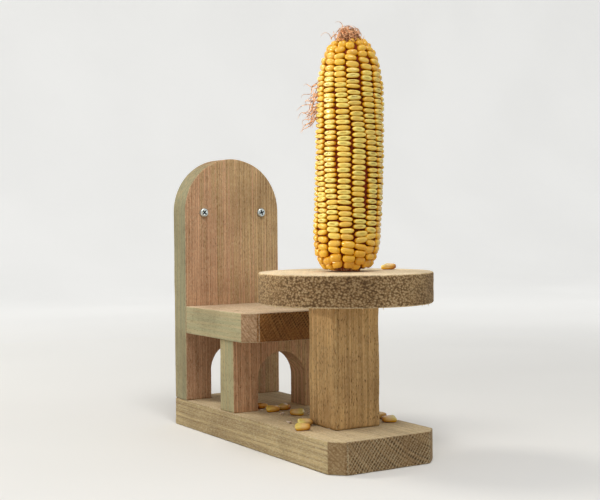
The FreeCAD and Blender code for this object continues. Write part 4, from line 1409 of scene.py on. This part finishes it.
class FEEDER_OT_table(Operator):
    """Build the table post and the round table top"""

    bl_idname = "feeder.table"
    bl_label = "Table"

    def execute(self, context):
        look = context.scene.feeder_cedar
        post_ease = 2.2 * MM
        post = plank("table_post", *post_lines("table_post", look), look, grain=UP, edge_round=post_ease)
        coat_piece(post, "cedar_table_post")
        top = round_board("table_top", look)
        screws = fastener_spots("table_screw_")
        cut_with(top, [sink_cutter((spot.x, spot.y, TABLE_TOP), "Z", SCREW_HEAD, HEAD_SINK)
                       for spot in screws])
        coat_piece(top, "cedar_table_top")
        return {"FINISHED"}


class FEEDER_OT_splinters(Operator):
    """Leave loose slivers on the sawn edges"""

    bl_idname = "feeder.splinters"
    bl_label = "Splinters"

    def execute(self, context):
        piece = make_piece("edge_splinters", *board_splinters(), FIXED, "cedar")
        coat_piece(piece, "splinters")
        return {"FINISHED"}


class FEEDER_OT_screws(Operator):
    """Build the two mounting screws and the corn spike with real threads, and coat the other fasteners"""

    bl_idname = "feeder.screws"
    bl_label = "Screws"

    def execute(self, context):
        look = context.scene.feeder_steel
        for name, turn in (("trunk_screw_left", 45), ("trunk_screw_right", 20)):
            self.mounting_screw(name, turn, look)
        self.spike("corn_spike", look)
        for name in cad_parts:
            if ("_screw_" in name or "_nail_" in name) and not name.startswith("trunk_"):
                coat_node(name, "dull_coat")
        return {"FINISHED"}

    @staticmethod
    def mounting_screw(name, turn, look, rise=2.2 * MM, head=3.7 * MM, flat=1.2 * MM, ease=1.3 * MM,
                       shank=1.75 * MM, thread=2.2 * MM, gap=0.1 * MM):
        """A pan-head screw that points to the rear: a domed head, a plain shank in the board and a thread."""
        low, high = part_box(name)
        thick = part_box("back_board")[1].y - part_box("back_board")[0].y
        bend = np.linspace(0, np.pi / 2, 6)
        dome = zip(head - ease + ease * np.sin(bend), rise - ease + ease * np.cos(bend))
        outline = [(0, rise), (flat, rise), *dome, (head, 0), (shank, 0), (shank, -thick)]
        points, faces = threaded(outline, thread, -thick - gap, rise - (high.y - low.y),
                                 look.thread_pitch, look.thread_depth)
        spot = np.array([(low.x + high.x) / 2, low.y + rise, (low.z + high.z) / 2])
        points = points @ np.array(Matrix.Rotation(math.pi / 2, 3, "X")).T + spot
        piece = make_piece(name, points, faces, FIXED, "zinc_steel", instead=True)
        front = spot - np.array([0, rise, 0])
        cut_with(piece, [cross_cutter(front, turn)])
        mark_recess(piece, front, head - ease + 0.2 * MM, rise)
        coat_piece(piece, "zinc_plate")

    @staticmethod
    def spike(name, look, radius=2.7 * MM, head=5 * MM, plain=18 * MM, gap=0.5 * MM):
        """A flat-head screw that points up through the table: a cone, a plain shank and a coarser thread."""
        low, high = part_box(name)
        outline = [(0, 0), (head, 0), (radius, radius - head), (radius, -plain)]
        points, faces = threaded(outline, radius, -plain - gap, low.z - high.z, 1.3 * look.thread_pitch,
                                 1.2 * look.thread_depth)
        points = points * np.array([1, -1, -1]) + np.array([TABLE_MIDDLE.x, TABLE_MIDDLE.y, low.z])
        piece = make_piece(name, points, faces, FIXED, "coated_steel", instead=True)
        coat_piece(piece, "dull_coat")


class FEEDER_OT_ear(Operator):
    """Build the kernels, the bed, the core and the dried silk of the ear of corn"""

    bl_idname = "feeder.ear"
    bl_label = "Ear of corn"

    def execute(self, context):
        look = context.scene.feeder_corn
        points, faces, marks = ear_kernels(look)
        kernels = make_piece("kernel_rows", points, faces, EAR, "corn_kernel", marks, instead=True)
        coat_piece(kernels, "dent_corn")
        bed = make_piece("ear_chaff", *ear_chaff(look), EAR, "cob_pith")
        coat_piece(bed, "red_chaff")
        coat_node("cob_core", "dry_cob")
        tuft = make_piece("silk_tuft", *silk_tuft(look), EAR, "corn_silk", instead=True)
        coat_piece(tuft, "dry_silk")
        wisps = make_piece("silk_wisps", *silk_wisps(look), EAR, "corn_silk")
        coat_piece(wisps, "dry_silk")
        return {"FINISHED"}


class FEEDER_OT_loose_kernels(Operator):
    """Scatter the loose kernels and their chaff where they lie on the base and the table"""

    bl_idname = "feeder.loose_kernels"
    bl_label = "Loose kernels"

    def execute(self, context):
        points, faces, marks = loose_kernels()
        piece = make_piece("spilled_kernels", points, faces, FIXED, "corn_kernel", marks, instead=True)
        coat_piece(piece, "dent_corn")
        flakes = make_piece("chaff_flakes", *chaff_flakes(), FIXED, "cob_pith")
        coat_piece(flakes, "pale_chaff")
        return {"FINISHED"}


class FEEDER_OT_stage(Operator):
    """Lay a pale floor that curves up behind, set soft lamps and place the camera"""

    bl_idname = "feeder.stage"
    bl_label = "Stage"

    def execute(self, context):
        look = context.scene.feeder_stage
        scene = context.scene
        self.floor(look)
        world = bpy.data.worlds.new("studio")
        world.use_nodes = True
        scene.world = world
        bench = Bench(world.node_tree)
        light = next(node for node in world.node_tree.nodes if node.type == "BACKGROUND")
        light.inputs["Color"].default_value = (1, 1, 1, 1)
        seen = bench.times(self.shown(bench), BACKDROP_STRENGTH)
        world.node_tree.links.new(bench.math("MAXIMUM", seen, look.sky), light.inputs["Strength"])
        self.lamp("key", look.key, **KEY_LAMP)
        self.lamp("rim", look.rim, **RIM_LAMP)
        self.kicker(look.kicker, **KICKER_LAMP)
        self.camera(look)
        scene.view_settings.view_transform = "Standard"
        return {"FINISHED"}

    @staticmethod
    def shown(bench):
        """1 for rays from the camera, mirrored by metal or passed through glass, else 0."""
        rays = bench.add("ShaderNodeLightPath").outputs
        bounced = bench.math("MAXIMUM", rays["Is Glossy Ray"], rays["Is Transmission Ray"])
        return bench.math("MAXIMUM", rays["Is Camera Ray"], bounced)

    def floor(self, look, turn=0.9, far=1.6, drop=0.05 * MM):
        """A floor that turns up into a wall: a straight run, a quarter circle and a straight rise."""
        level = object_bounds()[0].z - drop
        bend = np.linspace(0, np.pi / 2, 24)
        run = np.concatenate([[FLOOR_FRONT], far + turn * np.sin(bend), [far + turn]])
        rise = np.concatenate([[0.0], turn - turn * np.cos(bend), [WALL_HEIGHT]])
        across = np.linspace(-FLOOR_HALF_WIDTH, FLOOR_HALF_WIDTH, 7)
        points = np.stack(np.broadcast_arrays(across[:, None], run[None], level + rise[None]), axis=-1)
        index = np.arange(points[..., 0].size).reshape(points.shape[:2])
        floor = make_mesh("floor", points, grid_faces(index))
        floor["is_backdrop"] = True
        material, bench, shader = new_material("pale_floor")
        place = bench.add("ShaderNodeTexCoord").outputs["Object"]
        mottle = bench.remap(bench.noise(place, (3, 3, 3)), 0.3, 0.7)
        colour = bench.mix(mottle, rgba(look.floor), rgba(look.floor, (0.97, 0.97, 0.97)))
        bench.tree.links.new(colour, shader.inputs["Base Color"])
        bench.tree.links.new(colour, shader.inputs["Emission Color"])
        middle = (*LAMP_TARGET[:2], level)
        away = bench.add("ShaderNodeVectorMath", {0: place, 1: middle}, operation="DISTANCE").outputs[1]
        glow = bench.times(bench.remap(away, 0.15, 1.6, 0, look.glow), self.shown(bench))
        bench.tree.links.new(glow, shader.inputs["Emission Strength"])
        shader.inputs["Roughness"].default_value = 0.9
        shader.inputs["Specular IOR Level"].default_value = 0.1
        floor.data.materials.append(material)

    @staticmethod
    def hang(name, data, spot, target):
        """Put a lamp at a spot and aim it at a target."""
        lamp = bpy.data.objects.new(name, data)
        lamp.location = spot
        aim = Vector(target) - lamp.location
        lamp.rotation_euler = aim.to_track_quat("-Z", "Y").to_euler()
        bpy.context.scene.collection.objects.link(lamp)

    def lamp(self, name, power, spot, size, colour):
        """A square soft lamp aimed at the middle of the feeder."""
        data = bpy.data.lights.new(name, "AREA")
        data.energy = power
        data.size = size
        data.color = colour
        self.hang(name, data, spot, LAMP_TARGET)

    def kicker(self, power, spot, target, size, colour):
        """A narrow soft-edged lamp, behind on the left, that brightens the left of the ear and the table."""
        data = bpy.data.lights.new("kicker", "SPOT")
        data.energy = power
        data.color = colour
        data.spot_size = KICKER_CONE
        data.spot_blend = 0.5
        data.shadow_soft_size = size
        self.hang("kicker", data, spot, target)

    @staticmethod
    def camera(look):
        """The photograph's camera: to the left of the front, level with the middle of the back board."""
        flat = math.cos(VIEW_PITCH)
        ahead = np.array([math.sin(VIEW_YAW) * flat, math.cos(VIEW_YAW) * flat, math.sin(VIEW_PITCH)])
        up = np.cross(VIEW_RIGHT, ahead)
        level = math.cos(VIEW_ROLL) * VIEW_RIGHT + math.sin(VIEW_ROLL) * up
        upright = -math.sin(VIEW_ROLL) * VIEW_RIGHT + math.cos(VIEW_ROLL) * up
        data = bpy.data.cameras.new("camera")
        data.sensor_fit = "HORIZONTAL"
        data.sensor_width = 36
        data.lens = look.lens
        data.shift_x, data.shift_y = VIEW_SHIFT
        data.clip_start = 0.01
        data.clip_end = 30
        camera = bpy.data.objects.new("camera", data)
        turned = Matrix(np.stack([level, upright, -ahead], axis=1).tolist()).to_4x4()
        camera.matrix_world = Matrix.Translation(VIEW_SPOT) @ turned
        bpy.context.scene.collection.objects.link(camera)
        bpy.context.scene.camera = camera


class FEEDER_PT_panel(Panel):
    """Sidebar list of the feeder's pieces and settings"""

    bl_label = "Feeder"
    bl_idname = "FEEDER_PT_panel"
    bl_space_type = "VIEW_3D"
    bl_region_type = "UI"
    bl_category = "Feeder"

    def draw(self, context):
        for operator in OPERATORS:
            self.layout.operator(operator.bl_idname)
        for group in SETTINGS:
            look = getattr(context.scene, group)
            for name in look.__annotations__:
                self.layout.prop(look, name)


SETTINGS = {
    "feeder_cedar": CedarLook,
    "feeder_corn": CornLook,
    "feeder_steel": SteelLook,
    "feeder_stage": StageLook,
}
OPERATORS = (FEEDER_OT_finishes, FEEDER_OT_level_boards, FEEDER_OT_arched_boards, FEEDER_OT_table,
             FEEDER_OT_splinters, FEEDER_OT_screws, FEEDER_OT_ear, FEEDER_OT_loose_kernels, FEEDER_OT_stage)


def register():
    for kind in (*SETTINGS.values(), *OPERATORS, FEEDER_PT_panel):
        bpy.utils.register_class(kind)
    for name, kind in SETTINGS.items():
        setattr(bpy.types.Scene, name, PointerProperty(type=kind))


def unregister():
    for name in SETTINGS:
        delattr(bpy.types.Scene, name)
    for kind in reversed((*SETTINGS.values(), *OPERATORS, FEEDER_PT_panel)):
        bpy.utils.unregister_class(kind)


def main():
    register()
    bpy.ops.feeder.finishes()
    bpy.ops.feeder.level_boards()
    bpy.ops.feeder.arched_boards()
    bpy.ops.feeder.table()
    bpy.ops.feeder.splinters()
    bpy.ops.feeder.screws()
    bpy.ops.feeder.ear()
    bpy.ops.feeder.loose_kernels()
    bpy.ops.feeder.stage()


if __name__ == "__main__":
    main()
